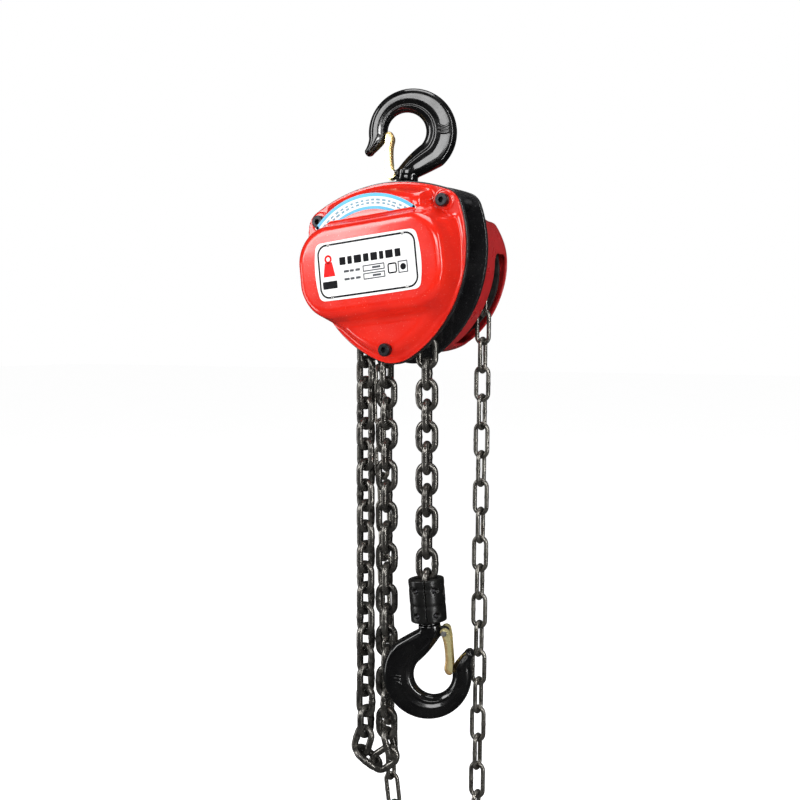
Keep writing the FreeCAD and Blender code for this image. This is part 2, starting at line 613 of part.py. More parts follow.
def hand_wheel():
    y = HAND_PLANE_Y
    flange = 65.0
    half = HAND_WIDTH / 2 + 0.6
    wheel = fuse([cyl(flange, y - half - 3.5, y + half + 3.5), cyl(28.5, 37.05, y)])
    groove = ring(flange + 5, HAND_R - HAND_WIRE / 2 - 0.5, y - half, y + half)
    slot = ring(flange + 5, HAND_R - HAND_WIDTH / 2 - 0.6, y - 2.6, y + 2.6)
    front = ring(43.0, 22.0, 30, y - 4).cut(cyl(28.5, 30, 42))
    recess = cyl(41.0, y + 4.0, 80).cut(cyl(18.0, y, 58.0))
    wheel = cut_each(wheel, [groove, slot, front, recess, cyl(14.03, 30, 37.2), cyl(7.03, 30, 80)])
    wheel = wheel.cut(cyl(19.0, 58.0, 80))
    step = 360.0 / HAND_POCKETS
    for n in range(HAND_POCKETS):
        middle = math.radians(step * n)
        for s in (-1, 1):
            tooth = box(HAND_R - 4.0, HAND_R + 3.5, y + (2.6 if s > 0 else -half),
                        y + (half if s > 0 else -2.6), -3.2, 3.2)
            wheel = wheel.fuse(turned(tooth, -math.degrees(middle), Y))
        hole = cyl(5.5, 30, 80, 33.0 * math.cos(middle), 33.0 * math.sin(middle))
        wheel = wheel.cut(hole)
    keep("hand_wheel", moved(wheel.removeSplitter(), SHAFT_X, 0, SHAFT_Z))


def load_sheave():
    core = LOAD_R - LOAD_WIRE / 2 - 0.4
    flats = turned(keyed(SPLINE_R, -32.0, -21.0, SPLINE_FLAT), BODY_LEAN, -Y)
    body = fuse([cyl(34.0, -14.4, 14.4), cyl(JOURNAL_R, -21.0, 21.0), flats])
    groove = ring(40.0, core, -10.7, 10.7)
    slot = ring(40.0, LOAD_R - LOAD_WIDTH / 2 - 0.4, -3.5, 3.5)
    body = cut_each(body, [groove, slot, cyl(10.5, -40, 40)])
    for n in range(LOAD_POCKETS):
        for s in (-1, 1):
            tooth = box(core - 2, LOAD_R + 3.0, 3.5 if s > 0 else -10.7, 10.7 if s > 0 else -3.5,
                        -2.4, 2.4)
            body = body.fuse(turned(tooth, -360.0 / LOAD_POCKETS * n, Y))
    body = body.removeSplitter().cut(ring(15.0, 12.5, -31.4, -30.2))
    keep("load_sheave", moved(body, SHAFT_X, 0, SHAFT_Z))
    clip = ring(15.0, 12.55, -31.3, -30.3).cut(box(-20, 0, -40, -20, -1.5, 1.5))
    keep("sheave_circlip", hang(clip))
    keep("sheave_inner_bushes", hang(ring(10.45, 7.5 + RUN, -31.5, -18.0)),
         hang(ring(10.45, 7.5 + RUN, 8.0, 20.5)))


RATCHET_R, RATCHET_TEETH = 34.0, 12


def ratchet():
    points = []
    for n in range(RATCHET_TEETH):
        a = math.radians(360.0 / RATCHET_TEETH * n)
        b = a + math.radians(360.0 / RATCHET_TEETH)
        points.append(Vector(RATCHET_R * math.cos(a), 28.55, RATCHET_R * math.sin(a)))
        for part in (0.33, 0.66, 1.0):
            r = RATCHET_R - 5.0 * part
            c = a + (b - a) * part
            points.append(Vector(r * math.cos(c), 28.55, r * math.sin(c)))
    points.append(points[0])
    wheel = Part.Face(Part.makePolygon(points)).extrude(5.95 * Y)
    keep("ratchet_wheel", hang(wheel.cut(cyl(14.0 + RUN, 20, 40))))
    pins, springs = [], []
    for (x, z), name in zip(PAWLS, ("upper", "lower")):
        pin = fuse([cyl(PAWL_PIN_R, INNER, 38.5, x, z), cyl(6.0, REAR, 28.3, x, z)])
        pins.append(hang(pin))
        keep("pawl_" + name, hang(pawl(x, z)))
        springs.append(hang(pawl_spring(x, z)))
    keep("pawl_pins", *pins)
    keep("pawl_springs", *springs)


def pawl(x, z):
    """A pawl on its pin, its nose in the notch behind a ratchet tooth."""
    side = 1 if x > 0 else -1
    face = math.radians(-2.0)

    def nose(r):
        return Vector(side * r * math.cos(face), 28.6, side * r * math.sin(face))

    def arm(dx, dz):
        return Vector(x + side * dx, 28.6, z + side * dz)
    profile = [nose(30.6), nose(35.6), arm(5.5, -1.0), arm(-3.0, 3.0), arm(-3.0, 14.5)]
    profile.append(profile[0])
    body = fuse([Part.Face(Part.makePolygon(profile)).extrude(5.8 * Y),
                 cyl(6.5, 28.6, 34.4, x, z)])
    return body.cut(cyl(PAWL_PIN_R + RUN, 20, 40, x, z))


def pawl_spring(x, z):
    """The spring that presses a pawl home: two turns of wire round its pin, joined by a leg."""
    coils = [Part.makeTorus(5.2, 0.5, Vector(x, y, z), Y) for y in (35.2, 37.4)]
    out = 5.2 * math.sqrt(0.5)
    return fuse(coils + [cyl(0.4, 35.2, 37.4, x + (out if z < 0 else -out), z + out)])


# --- hooks --------------------------------------------------------------------------------
BOWL_R = 16.5            # radius of the hook's bowl
HOOK_BACK_X, HOOK_BACK_Z, HOOK_BACK_R = 5.0, -17.5, 38.0   # outer circle, from the seat
NECK_R = 8.6
HOOK_THICK = 15.5
NECK_Z = -56.0           # where the neck becomes the round shank
LATCH_X, LATCH_Z = -12.7, -53.0
LATCH_OUTER_X, LATCH_TOP_Z, LATCH_LOW_Z = -18.2, -17.2, -57.4
LATCH_HALF, LATCH_SHEET = 9.2, 1.2


def hook_profile():
    """The hook in its own plane: seat at the origin, opening to -X, shank down along -Z."""
    y = -HOOK_THICK / 2

    def p(x, z):
        return Vector(x, y, z)

    def on(cx, cz, r, degrees):
        a = math.radians(degrees)
        return p(cx + r * math.cos(a), cz + r * math.sin(a))
    bowl = (0.0, -BOWL_R, BOWL_R)
    back = (HOOK_BACK_X, HOOK_BACK_Z, HOOK_BACK_R)
    inner_end = on(*bowl, -42)
    inner_mouth = on(*bowl, 196)
    outer_mouth = on(*back, 187)
    outer_low = on(*back, -48)
    tip_in, tip, tip_out = p(-28.2, -35.0), p(-33.5, -37.2), p(-36.4, -32.5)
    edges = [
        Part.makeLine(p(-NECK_R, NECK_Z), p(-NECK_R, -49.0)),
        Part.Arc(p(-NECK_R, -49.0), p(0.5, -38.0), inner_end).toShape(),
        Part.Arc(inner_end, on(*bowl, 90), inner_mouth).toShape(),
        Part.Arc(inner_mouth, p(-20.5, -27.5), tip_in).toShape(),
        Part.Arc(tip_in, tip, tip_out).toShape(),
        Part.Arc(tip_out, p(-33.9, -27.5), outer_mouth).toShape(),
        Part.Arc(outer_mouth, on(*back, 75), outer_low).toShape(),
        Part.Arc(outer_low, p(19.5, -51.2), p(NECK_R, NECK_Z)).toShape(),
        Part.makeLine(p(NECK_R, NECK_Z), p(-NECK_R, NECK_Z)),
    ]
    return Part.Wire(edges)


def hook_body(shank_end):
    blade = Part.Face(hook_profile()).extrude(Vector(0, HOOK_THICK, 0))
    for radius in (4.0, 3.0, 2.0):
        try:
            rim = [e for e in blade.Edges if e.BoundBox.YLength < 0.01
                   and e.BoundBox.ZMax > NECK_Z + 0.5]
            soft = blade.makeFillet(radius, rim)
            if soft.isValid():
                blade = soft
                break
        except Part.OCCError:
            continue
    shank = Part.makeCylinder(8.0, NECK_Z + 1.5 - shank_end, Vector(0, 0, shank_end), Z)
    collar = Part.makeCylinder(NECK_R + 0.2, 4.0, Vector(0, 0, NECK_Z - 1.5), Z)
    ear = cyl(3.9, -3.2, 3.2, LATCH_X, LATCH_Z)
    root = box(LATCH_X, 0, -3.2, 3.2, LATCH_Z - 3.9, LATCH_Z + 3.4)
    body = fuse([blade, shank, collar, ear, root])
    return body.cut(cyl(1.55, -20, 20, LATCH_X, LATCH_Z))


def latch_form(half, shift):
    """The latch's outer form: straight on the outside, and hollow-backed towards the bowl."""
    def p(x, z):
        return Vector(x - shift, -half, z - shift)
    back = Part.BSplineCurve()
    back.interpolate([p(-9.4, -53.0), p(-11.7, -44.0), p(-12.2, -35.0), p(-11.5, -27.0),
                      p(-10.7, -21.5), p(-12.2, -18.4), p(-15.2, LATCH_TOP_Z)])
    edges = [back.toShape(),
             Part.makeLine(p(-15.2, LATCH_TOP_Z), p(-17.2, -18.6)),
             Part.makeLine(p(-17.2, -18.6), p(LATCH_OUTER_X, -25.0)),
             Part.makeLine(p(LATCH_OUTER_X, -25.0), p(LATCH_OUTER_X, -48.0)),
             Part.makeLine(p(LATCH_OUTER_X, -48.0), p(-17.6, -53.0)),
             Part.Arc(p(-17.6, -53.0), p(-13.5, LATCH_LOW_Z), p(-9.4, -53.0)).toShape()]
    return Part.Face(Part.Wire(edges)).extrude(Vector(0, 2 * half, 0))


def latch():
    """A pressed sheet latch: two cheeks outside the hook and a web round the bowl's side."""
    form = latch_form(LATCH_HALF, 0.0)
    inner = LATCH_HALF - LATCH_SHEET
    rim = [e for e in form.Edges if e.BoundBox.YLength < 0.01 and e.BoundBox.ZLength > 30
           and e.BoundBox.XMax > -11.0]
    form = form.makeFillet(2.4, rim)
    hollow = latch_form(inner, LATCH_SHEET)
    mouth = box(-30, -15.7, -inner, inner, -60, -10)
    foot = box(-30, 0, -inner, inner, -60, -44.5)
    return cut_each(form, [hollow, mouth, foot, cyl(1.55, -20, 20, LATCH_X, LATCH_Z)])


def latch_pin():
    end = LATCH_HALF + 1.1
    return fuse([cyl(1.5, -end, end, LATCH_X, LATCH_Z),
                 cyl(2.4, -end, -LATCH_HALF - 0.1, LATCH_X, LATCH_Z),
                 cyl(2.4, LATCH_HALF + 0.1, end, LATCH_X, LATCH_Z)])


def latch_spring():
    """The spring on a latch's pin: two turns of thin wire in the space beside the ear."""
    wire, radius = 0.35, 2.3
    helix = Part.makeHelix(0.8, 1.6, radius)
    start = helix.Edges[0].Vertexes[0].Point
    section = Part.Wire(Part.makeCircle(wire, start, Y))
    coil = Part.Wire(helix).makePipeShell([section], True, True)
    return moved(turned(coil, -90, X), LATCH_X, 3.65, LATCH_Z)


def place_top(shape):
    return turned(shape, TOP_HOOK_TURN, Z)


def lower(shape):
    """From the lower block's own upright frame to where it hangs, leaning on the chain's pin."""
    leaned = turned(shape, LOWER_LEAN, -Y, Vector(0, 0, CHAIN_PIN_Z))
    return moved(turned(leaned, LOWER_HOOK_TURN, Z), SHAFT_X + LOAD_R)


def place_bottom(shape):
    return lower(moved(turned(shape, 180, Y), 0, 0, LOWER_SEAT_Z))


YOKE_TOP, YOKE_LOW = -67.5, -90.0


def top_end():
    retainer_z = -87.5
    keep("top_hook", place_top(hook_body(retainer_z - 1.0)))
    keep("top_latch", place_top(latch()))
    keep("top_latch_pin", place_top(latch_pin()))
    keep("top_latch_spring", place_top(latch_spring()))
    washer = Part.makeCylinder(11.0, 6.0, Vector(0, 0, retainer_z), Z)
    washer = washer.cut(Part.makeCylinder(8.02, 30, Vector(0, 0, retainer_z - 5), Z))
    keep("top_hook_retainer", washer)
    half = INNER - 1.0
    block = box(-15, 15, -half, half, YOKE_LOW, YOKE_TOP)
    block = block.makeFillet(3.0, [e for e in block.Edges if e.BoundBox.YLength > half])
    pivots = [cyl(TRUNNION_R, -REAR + 0.2, -half + 1, 0, YOKE_Z),
              cyl(TRUNNION_R, half - 1, REAR - 0.2, 0, YOKE_Z)]
    block = fuse([block, *pivots])
    bore = Part.makeCylinder(8.0 + RUN, 60, Vector(0, 0, -110), Z)
    pocket = Part.makeCylinder(12.0, 30, Vector(0, 0, -81.3 - 30), Z)
    keep("hook_yoke", cut_each(block, [bore, pocket]))


BLOCK_R, BLOCK_TOP, BLOCK_LOW = 15.5, -398.0, -434.5
CHAIN_PIN_Z = SHAFT_Z - LOAD_PITCH / 2 - LOAD_PITCH * (MAIN_FALL_LINKS - 1) + 3.3


def bottom_end():
    x = SHAFT_X + LOAD_R
    shank_top = LOWER_SEAT_Z - NECK_Z + 20.0
    keep("bottom_hook", place_bottom(hook_body(NECK_Z - 20.0)))
    keep("bottom_latch", place_bottom(latch()))
    keep("bottom_latch_pin", place_bottom(latch_pin()))
    keep("bottom_latch_spring", place_bottom(latch_spring()))
    washer = Part.makeCylinder(11.0, 5.0, Vector(0, 0, shank_top - 6.0), Z)
    washer = washer.cut(Part.makeCylinder(8.02, 30, Vector(0, 0, shank_top - 20), Z))
    keep("bottom_hook_retainer", lower(washer))

    body = Part.makeCylinder(BLOCK_R, BLOCK_TOP - BLOCK_LOW, Vector(0, 0, BLOCK_LOW), Z)
    body = body.makeFillet(2.0, [e for e in body.Edges if e.BoundBox.ZLength < 0.1])
    neck = Part.makeCylinder(8.0 + RUN, 60, Vector(0, 0, BLOCK_LOW - 30), Z)
    pocket = Part.makeCylinder(11.3, 6.9, Vector(0, 0, shank_top - 6.3), Z)
    body = cut_each(body, [neck, pocket])
    bolts = []
    for along in (-12.4, 12.4):
        for z in (BLOCK_LOW + 6.5, BLOCK_TOP - 9.0):
            body = body.cut(fuse([Part.makeCylinder(1.22, 60, Vector(-30, along, z), X),
                                  Part.makeCylinder(2.0, 9, Vector(-15.5, along, z), X),
                                  Part.makeCylinder(2.0, 9, Vector(6.5, along, z), X)]))
            bolts.append(lower(fuse([Part.makeCylinder(1.2, 13.4, Vector(-6.7, along, z), X),
                                     Part.makeCylinder(1.9, 1.5, Vector(-8.0, along, z), X),
                                     Part.makeCylinder(1.9, 1.5, Vector(6.5, along, z), X)])))
    keep("hook_block_bolts", *bolts)

    # the chain and its pin hang upright in the leaning block
    socket = box(-3.5, 3.5, -10.5, 10.5, CHAIN_PIN_Z - 9.9, BLOCK_TOP + 3)
    socket = socket.fuse(box(-10.5, 10.5, -3.5, 3.5, BLOCK_TOP - 3.4, BLOCK_TOP + 3))
    bore = Part.makeCylinder(3.02, 60, Vector(-30, 0, CHAIN_PIN_Z), X)
    openings = [moved(turned(shape, MAIN_FALL_TWIST, Z), x) for shape in (socket, bore)]
    for side, name in ((-1, "left"), (1, "right")):
        half = box(min(0, side * 30), max(0, side * 30), -30, 30, -600, -300)
        half = lower(body.common(moved(half, side * 0.05)))
        keep("hook_block_" + name, cut_each(half, openings))
    pin = Part.makeCylinder(3.0, 2 * BLOCK_R - 2.0, Vector(-BLOCK_R + 1.0, 0, CHAIN_PIN_Z), X)
    keep("load_chain_pin", moved(turned(pin, MAIN_FALL_TWIST, Z), x))


def main():
    x, z = load_chain()
    anchor_x, anchor_z = SHAFT_X + x, SHAFT_Z + z - 3.0 - LINK_SLACK
    anchor = body_point(anchor_x, anchor_z)
    hand_chain()
    side_plates(anchor)
    fasteners(anchor)
    gear_plate()
    chain_stripper()
    gear_cover()
    hand_wheel_cover()
    gear_train()
    drive()
    hand_wheel()
    load_sheave()
    ratchet()
    top_end()
    bottom_end()
    os.makedirs("parts", exist_ok=True)
    for name, shape in NODES.items():
        shape.exportStep("parts/" + name + ".step")
        box_ = shape.BoundBox
        print(f"{name:26s} solids {len(shape.Solids):3d} valid {shape.isValid()} "
              f"cm3 {shape.Volume / 1000:8.2f}  x {box_.XMin:7.1f} {box_.XMax:7.1f} "
              f"y {box_.YMin:6.1f} {box_.YMax:6.1f} z {box_.ZMin:7.1f} {box_.ZMax:7.1f}")
    print(len(NODES), "nodes")


main()
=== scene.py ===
"""The look of the chain hoist: smooth castings and covers, separate chain links, paint, steel
and print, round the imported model. Lengths are in millimetres until a mesh is made."""
import json
import math
import random

import bpy
import numpy as np
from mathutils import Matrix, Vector


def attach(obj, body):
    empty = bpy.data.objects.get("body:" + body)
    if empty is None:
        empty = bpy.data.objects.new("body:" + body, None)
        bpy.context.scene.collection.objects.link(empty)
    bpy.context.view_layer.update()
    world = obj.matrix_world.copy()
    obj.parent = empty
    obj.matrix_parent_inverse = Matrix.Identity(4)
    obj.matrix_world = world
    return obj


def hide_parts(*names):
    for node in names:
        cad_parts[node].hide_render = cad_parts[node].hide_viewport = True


MM = 0.001
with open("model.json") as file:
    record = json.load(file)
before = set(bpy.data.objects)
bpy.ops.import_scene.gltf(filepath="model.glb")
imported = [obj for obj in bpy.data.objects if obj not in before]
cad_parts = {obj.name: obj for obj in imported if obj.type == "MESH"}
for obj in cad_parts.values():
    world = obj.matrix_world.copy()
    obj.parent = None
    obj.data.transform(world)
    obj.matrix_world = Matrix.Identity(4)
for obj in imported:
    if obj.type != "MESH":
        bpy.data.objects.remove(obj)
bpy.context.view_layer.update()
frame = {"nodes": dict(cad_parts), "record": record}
random.seed(7)

# --- where things are ---------------------------------------------------------------------
SHAFT_X, SHAFT_Z = -8.3, -134.0
LEAN = math.radians(6.0)
TOP_HOOK_TURN, LOWER_HOOK_TURN = 25.0, 22.0
LOWER_SEAT_Z = -497.0
LOWER_LEAN, CHAIN_PIN_Z = 4.3, -409.7
PLATE_FACE = 20.0          # outer faces of the side plates, from the middle
LOAD_PITCH, LOAD_WIRE, LOAD_WIDTH, LOAD_POCKETS = 18.0, 6.0, 20.2, 5
HAND_PITCH, HAND_WIRE, HAND_WIDTH, HAND_POCKETS = 25.0, 4.0, 15.5, 7
HAND_Y = 55.0


def hang(points):
    """From the upright body's frame, about its shaft, to where it hangs."""
    points = np.asarray(points, float)
    u, y, w = points[..., 0], points[..., 1], points[..., 2]
    x = SHAFT_X + u * math.cos(LEAN) - w * math.sin(LEAN)
    z = SHAFT_Z + u * math.sin(LEAN) + w * math.cos(LEAN)
    return np.stack([x, y, z], -1)


def hang_direction(v):
    return hang(v) - hang(np.zeros_like(v))


def turn_z(points, degrees):
    a = math.radians(degrees)
    x, y, z = points[..., 0], points[..., 1], points[..., 2]
    return np.stack([x * math.cos(a) - y * math.sin(a), x * math.sin(a) + y * math.cos(a), z], -1)


def lower(points, directions=False):
    """From the lower block's own upright frame to where it hangs, leaning on the chain's pin."""
    sine, cosine = math.sin(math.radians(LOWER_LEAN)), math.cos(math.radians(LOWER_LEAN))
    pivot = 0.0 if directions else CHAIN_PIN_Z
    x, y, z = points[..., 0], points[..., 1], points[..., 2] - pivot
    leaned = np.stack([x * cosine - z * sine, y, x * sine + z * cosine + pivot], -1)
    out = turn_z(leaned, LOWER_HOOK_TURN)
    return out if directions else out + np.array([FALL_X, 0.0, 0.0])


# --- materials ----------------------------------------------------------------------------
class Nodes:
    """Short names for building a material."""

    def __init__(self, name):
        self.material = bpy.data.materials.new(name)
        self.material.use_nodes = True
        self.tree = self.material.node_tree
        self.shader = self.tree.nodes["Principled BSDF"]
        self.place = self.add("ShaderNodeTexCoord").outputs["Object"]

    def add(self, kind, inputs=None, **settings):
        node = self.tree.nodes.new(kind)
        for key, value in settings.items():
            setattr(node, key, value)
        for key, value in (inputs or {}).items():
            self.put(node.inputs[key], value)
        return node

    def put(self, socket, value):
        if isinstance(value, bpy.types.NodeSocket):
            self.tree.links.new(value, socket)
        else:
            socket.default_value = value

    def set(self, name, value):
        self.put(self.shader.inputs[name], value)

    def noise(self, scale, detail=4.0, rough=0.55, stretch=None):
        place = self.place
        if stretch:
            place = self.add("ShaderNodeMapping", {"Vector": place, "Scale": stretch}).outputs[0]
        settings = {"Vector": place, "Scale": scale, "Detail": detail, "Roughness": rough}
        return self.add("ShaderNodeTexNoise", settings).outputs["Fac"]

    def remap(self, value, a, b, c, d):
        settings = {"Value": value, "From Min": a, "From Max": b, "To Min": c, "To Max": d}
        return self.add("ShaderNodeMapRange", settings).outputs[0]

    def mix(self, fac, a, b):
        node = self.add("ShaderNodeMix", data_type="RGBA")
        self.put(node.inputs[0], fac)
        self.put(node.inputs[6], (*a, 1) if isinstance(a, tuple) else a)
        self.put(node.inputs[7], (*b, 1) if isinstance(b, tuple) else b)
        return node.outputs[2]

    def maths(self, kind, a, b=0.0):
        node = self.add("ShaderNodeMath", operation=kind)
        self.put(node.inputs[0], a)
        self.put(node.inputs[1], b)
        return node.outputs[0]

    def bump(self, height, distance, strength=1.0):
        settings = {"Height": height, "Distance": distance, "Strength": strength}
        normal = self.add("ShaderNodeBump", settings).outputs[0]
        self.set("Normal", normal)
        return normal

    def edges(self, low=0.52, high=0.6):
        point = self.add("ShaderNodeNewGeometry").outputs["Pointiness"]
        return self.remap(point, low, high, 0.0, 1.0)


def enamel(name, colour, deep, rough, dust, chips=0.35):
    """Sprayed enamel: orange peel, a little dust in the hollows, thin paint on the edges."""
    n = Nodes(name)
    cloud = n.remap(n.noise(28.0), 0.35, 0.7, 0.0, 1.0)
    base = n.mix(cloud, colour, deep)
    speck = n.remap(n.noise(900.0, 2.0), 0.68, 0.74, 0.0, 0.5)
    base = n.mix(speck, base, dust)
    worn = n.maths("MULTIPLY", n.edges(0.535, 0.62), n.remap(n.noise(160.0), 0.5, 0.62, 0.0, chips))
    base = n.mix(worn, base, dust)
    n.set("Base Color", base)
    n.set("Roughness", n.remap(n.noise(60.0), 0.3, 0.7, rough * 0.8, rough * 1.35))
    n.set("Coat Weight", 0.6)
    n.set("Coat Roughness", 0.06)
    peel = n.maths("ADD", n.noise(420.0, 2.0), n.maths("MULTIPLY", n.noise(1600.0, 2.0), 0.25))
    n.bump(peel, 0.00006, 0.55)
    return n.material


def steel(name, dark, light, rough, metallic=1.0, grain=90.0, pits=0.00015, rust=None,
          stretch=None):
    """Bare or blackened steel: mottled, pitted, brighter where it is rubbed."""
    n = Nodes(name)
    mottle = n.remap(n.noise(grain, 6.0, 0.65, stretch), 0.35, 0.68, 0.0, 1.0)
    base = n.mix(mottle, dark, light)
    rubbed = tuple(min(1, 1.8 * c) for c in light)
    base = n.mix(n.maths("MULTIPLY", n.edges(0.53, 0.6), 0.6), base, rubbed)
    if rust:
        base = n.mix(n.remap(n.noise(55.0, 5.0), 0.58, 0.72, 0.0, 0.55), base, rust)
    n.set("Base Color", base)
    n.set("Metallic", metallic)
    n.set("Roughness", n.remap(n.noise(grain * 1.7, 5.0), 0.3, 0.7, rough * 0.7, rough * 1.4))
    fine = n.maths("ADD", n.noise(grain * 5.0, 4.0), n.maths("MULTIPLY", n.noise(grain * 1.4), 0.8))
    n.bump(fine, pits, 0.6)
    return n.material


def forged_black():
    """Gloss black over a forging: hammered skin under thick paint, dust on top."""
    n = Nodes("black_over_forging")
    cloud = n.remap(n.noise(45.0, 5.0), 0.4, 0.72, 0.0, 1.0)
    base = n.mix(cloud, (0.0015, 0.0015, 0.0018), (0.005, 0.005, 0.005))
    speck = n.remap(n.noise(750.0, 3.0), 0.69, 0.76, 0.0, 0.4)
    base = n.mix(speck, base, (0.1, 0.1, 0.098))
    worn = n.maths("MULTIPLY", n.edges(0.53, 0.6), n.remap(n.noise(120.0), 0.45, 0.6, 0.0, 0.6))
    base = n.mix(worn, base, (0.14, 0.14, 0.14))
    n.set("Base Color", base)
    n.set("Roughness", n.remap(n.noise(70.0, 5.0), 0.3, 0.7, 0.12, 0.34))
    n.set("Specular IOR Level", 0.3)
    n.set("Coat Weight", 0.6)
    n.set("Coat IOR", 1.65)
    n.set("Coat Roughness", 0.07)
    skin = n.maths("ADD", n.noise(110.0, 3.0), n.maths("MULTIPLY", n.noise(600.0, 3.0), 0.2))
    n.bump(skin, 0.0004, 0.4)
    return n.material


def printed(name, colour, rough=0.3, gloss=0.5):
    """A label's ground or an ink: slightly faded, and rough by its finish."""
    n = Nodes(name)
    n.set("Specular IOR Level", gloss)
    fade = n.remap(n.noise(400.0, 3.0), 0.4, 0.75, 0.0, 0.25)
    n.set("Base Color", n.mix(fade, colour, tuple(min(1.0, c * 0.9 + 0.02) for c in colour)))
    n.set("Roughness", n.remap(n.noise(150.0), 0.3, 0.7, rough * 0.8, rough * 1.3))
    n.bump(n.noise(900.0, 2.0), 0.00002, 0.4)
    return n.material


RED = enamel("red_enamel", (0.78, 0.02, 0.008), (0.66, 0.013, 0.006), 0.17,
             (0.85, 0.32, 0.26), 0.25)
# painted shade: the hand wheel cover gets a darker copy of the gear cover's red enamel, standing in
# for the shade the drum sits in
SHADED_DRUM_RED = enamel("red_enamel_drum_painted_shade", (0.46, 0.014, 0.016), (0.36, 0.01, 0.012), 0.3,
                  (0.6, 0.3, 0.28))
BLACK = enamel("black_enamel", (0.008, 0.008, 0.009), (0.016, 0.016, 0.017), 0.22,
               (0.16, 0.16, 0.16), 0.5)
FORGED = forged_black()
SATIN = steel("satin_black_casting", (0.002, 0.002, 0.002), (0.009, 0.009, 0.0085), 0.3, 0.0,
              70.0, 0.0001)
OXIDE = steel("black_oxide", (0.018, 0.018, 0.02), (0.05, 0.05, 0.055), 0.32, 0.85, 160.0)
ZINC = steel("zinc_plate", (0.42, 0.42, 0.41), (0.66, 0.66, 0.64), 0.3, 1.0, 120.0)
GEAR = steel("machined_steel", (0.3, 0.3, 0.3), (0.52, 0.52, 0.52), 0.3, 1.0, 100.0)
# dark cast iron, darkened further as painted shade so that the hand wheel seen through the drum's
# slots reads black
DARK_CAST_IN_SHADE = steel("cast_iron_painted_shade", (0.018, 0.018, 0.018), (0.06, 0.06, 0.057), 0.55, 0.6, 140.0, 0.0004)
LOAD_STEEL = steel("load_chain_steel", (0.05, 0.048, 0.045), (0.24, 0.23, 0.21), 0.27, 0.9,
                   90.0, 0.00014, (0.06, 0.035, 0.022))
HAND_STEEL = steel("hand_chain_steel", (0.11, 0.105, 0.095), (0.36, 0.345, 0.31), 0.28, 0.9,
                   90.0, 0.00012, (0.13, 0.09, 0.06))
BRONZE = steel("bronze", (0.3, 0.19, 0.08), (0.6, 0.42, 0.2), 0.35, 1.0, 100.0)
GOLD = steel("gold_zinc_sheet", (0.56, 0.34, 0.12), (0.88, 0.62, 0.3), 0.24, 0.72, 60.0, 0.00006)
FACING = steel("brake_facing", (0.05, 0.04, 0.035), (0.14, 0.11, 0.09), 0.85, 0.0, 500.0)
SPRING = steel("spring_wire", (0.4, 0.4, 0.4), (0.7, 0.7, 0.7), 0.25, 1.0, 200.0)
WHITE = printed("label_white", (0.93, 0.93, 0.925), 0.28)
INK = printed("label_ink", (0.006, 0.006, 0.008), 0.55, 0.12)
GREY_INK = printed("label_grey_ink", (0.08, 0.085, 0.095), 0.5, 0.15)
PALE_INK = printed("label_pale_ink", (0.22, 0.4, 0.5), 0.5, 0.2)
RED_INK = printed("label_red_ink", (0.75, 0.006, 0.006), 0.5, 0.2)
BLUE_INK = printed("label_blue_ink", (0.09, 0.5, 0.78))

SLOT_MATERIAL = {
    "red_cover": RED, "red_drum": SHADED_DRUM_RED, "black_plate": BLACK, "black_hook": FORGED,
    "black_screw": OXIDE, "zinc": ZINC, "gear_steel": GEAR, "cast_wheel": DARK_CAST_IN_SHADE,
    "load_chain": LOAD_STEEL, "hand_chain": HAND_STEEL, "bronze": BRONZE, "latch_gold": GOLD,
    "brake_facing": FACING, "spring_steel": SPRING, "label": WHITE}


# --- meshes -------------------------------------------------------------------------------
def piece(name, points, faces, body, material, stands_for=(), normals=None):
    """A new piece from points in millimetres, riding a body of the frame."""
    mesh = bpy.data.meshes.new(name)
    mesh.from_pydata((np.asarray(points) * MM).tolist(), [], np.asarray(faces).tolist()
                     if isinstance(faces, np.ndarray) else faces)
    mesh.polygons.foreach_set("use_smooth", [True] * len(mesh.polygons))
    mesh.update()
    if normals is not None:
        mesh.normals_split_custom_set_from_vertices(np.asarray(normals).tolist())
    obj = bpy.data.objects.new(name, mesh)
    bpy.context.scene.collection.objects.link(obj)
    obj.data.materials.append(material)
    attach(obj, body)
    if stands_for:
        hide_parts(*stands_for)
    return obj


def surface_net(values, low, step):
    """Points and quads of the zero surface of a field of values on a grid."""
    size = np.array(values.shape)
    inside = values < 0
    cells = tuple(size - 1)
    total, count = np.zeros(cells + (3,)), np.zeros(cells)
    crossings = []
    for axis in range(3):
        first = [slice(None)] * 3
        second = [slice(None)] * 3
        first[axis], second[axis] = slice(None, -1), slice(1, None)
        a, b = values[tuple(first)], values[tuple(second)]
        cross = inside[tuple(first)] != inside[tuple(second)]
        part = np.where(cross, a / np.where(cross, a - b, 1.0), 0.0)
        crossings.append((cross, inside[tuple(first)]))
        others = [k for k in range(3) if k != axis]
        for i in (0, 1):
            for j in (0, 1):
                pick = [slice(None)] * 3
                pick[others[0]] = slice(i, i + cells[others[0]])
                pick[others[1]] = slice(j, j + cells[others[1]])
                c = cross[tuple(pick)]
                total[..., axis] += part[tuple(pick)]
                total[..., others[0]] += c * i
                total[..., others[1]] += c * j
                count += c
    used = count > 0
    number = np.full(cells, -1)
    number[used] = np.arange(used.sum())
    points = np.argwhere(used) + total[used] / count[used][:, None]
    quads = []
    for axis in range(3):
        cross, starts_inside = crossings[axis]
        where = np.argwhere(cross)
        u, v = (axis + 1) % 3, (axis + 2) % 3
        ok = (where[:, u] > 0) & (where[:, v] > 0)
        ok &= (where[:, u] < cells[u]) & (where[:, v] < cells[v])
        where = where[ok]
        corners = []
        for du, dv in ((-1, -1), (0, -1), (0, 0), (-1, 0)):
            cell = where.copy()
            cell[:, u] += du
            cell[:, v] += dv
            corners.append(number[tuple(cell.T)])
        quad = np.stack(corners, 1)
        flip = ~starts_inside[tuple(where.T)]
        quad[flip] = quad[flip][:, ::-1]
        quads.append(quad)
    return points * step + low, np.concatenate(quads)


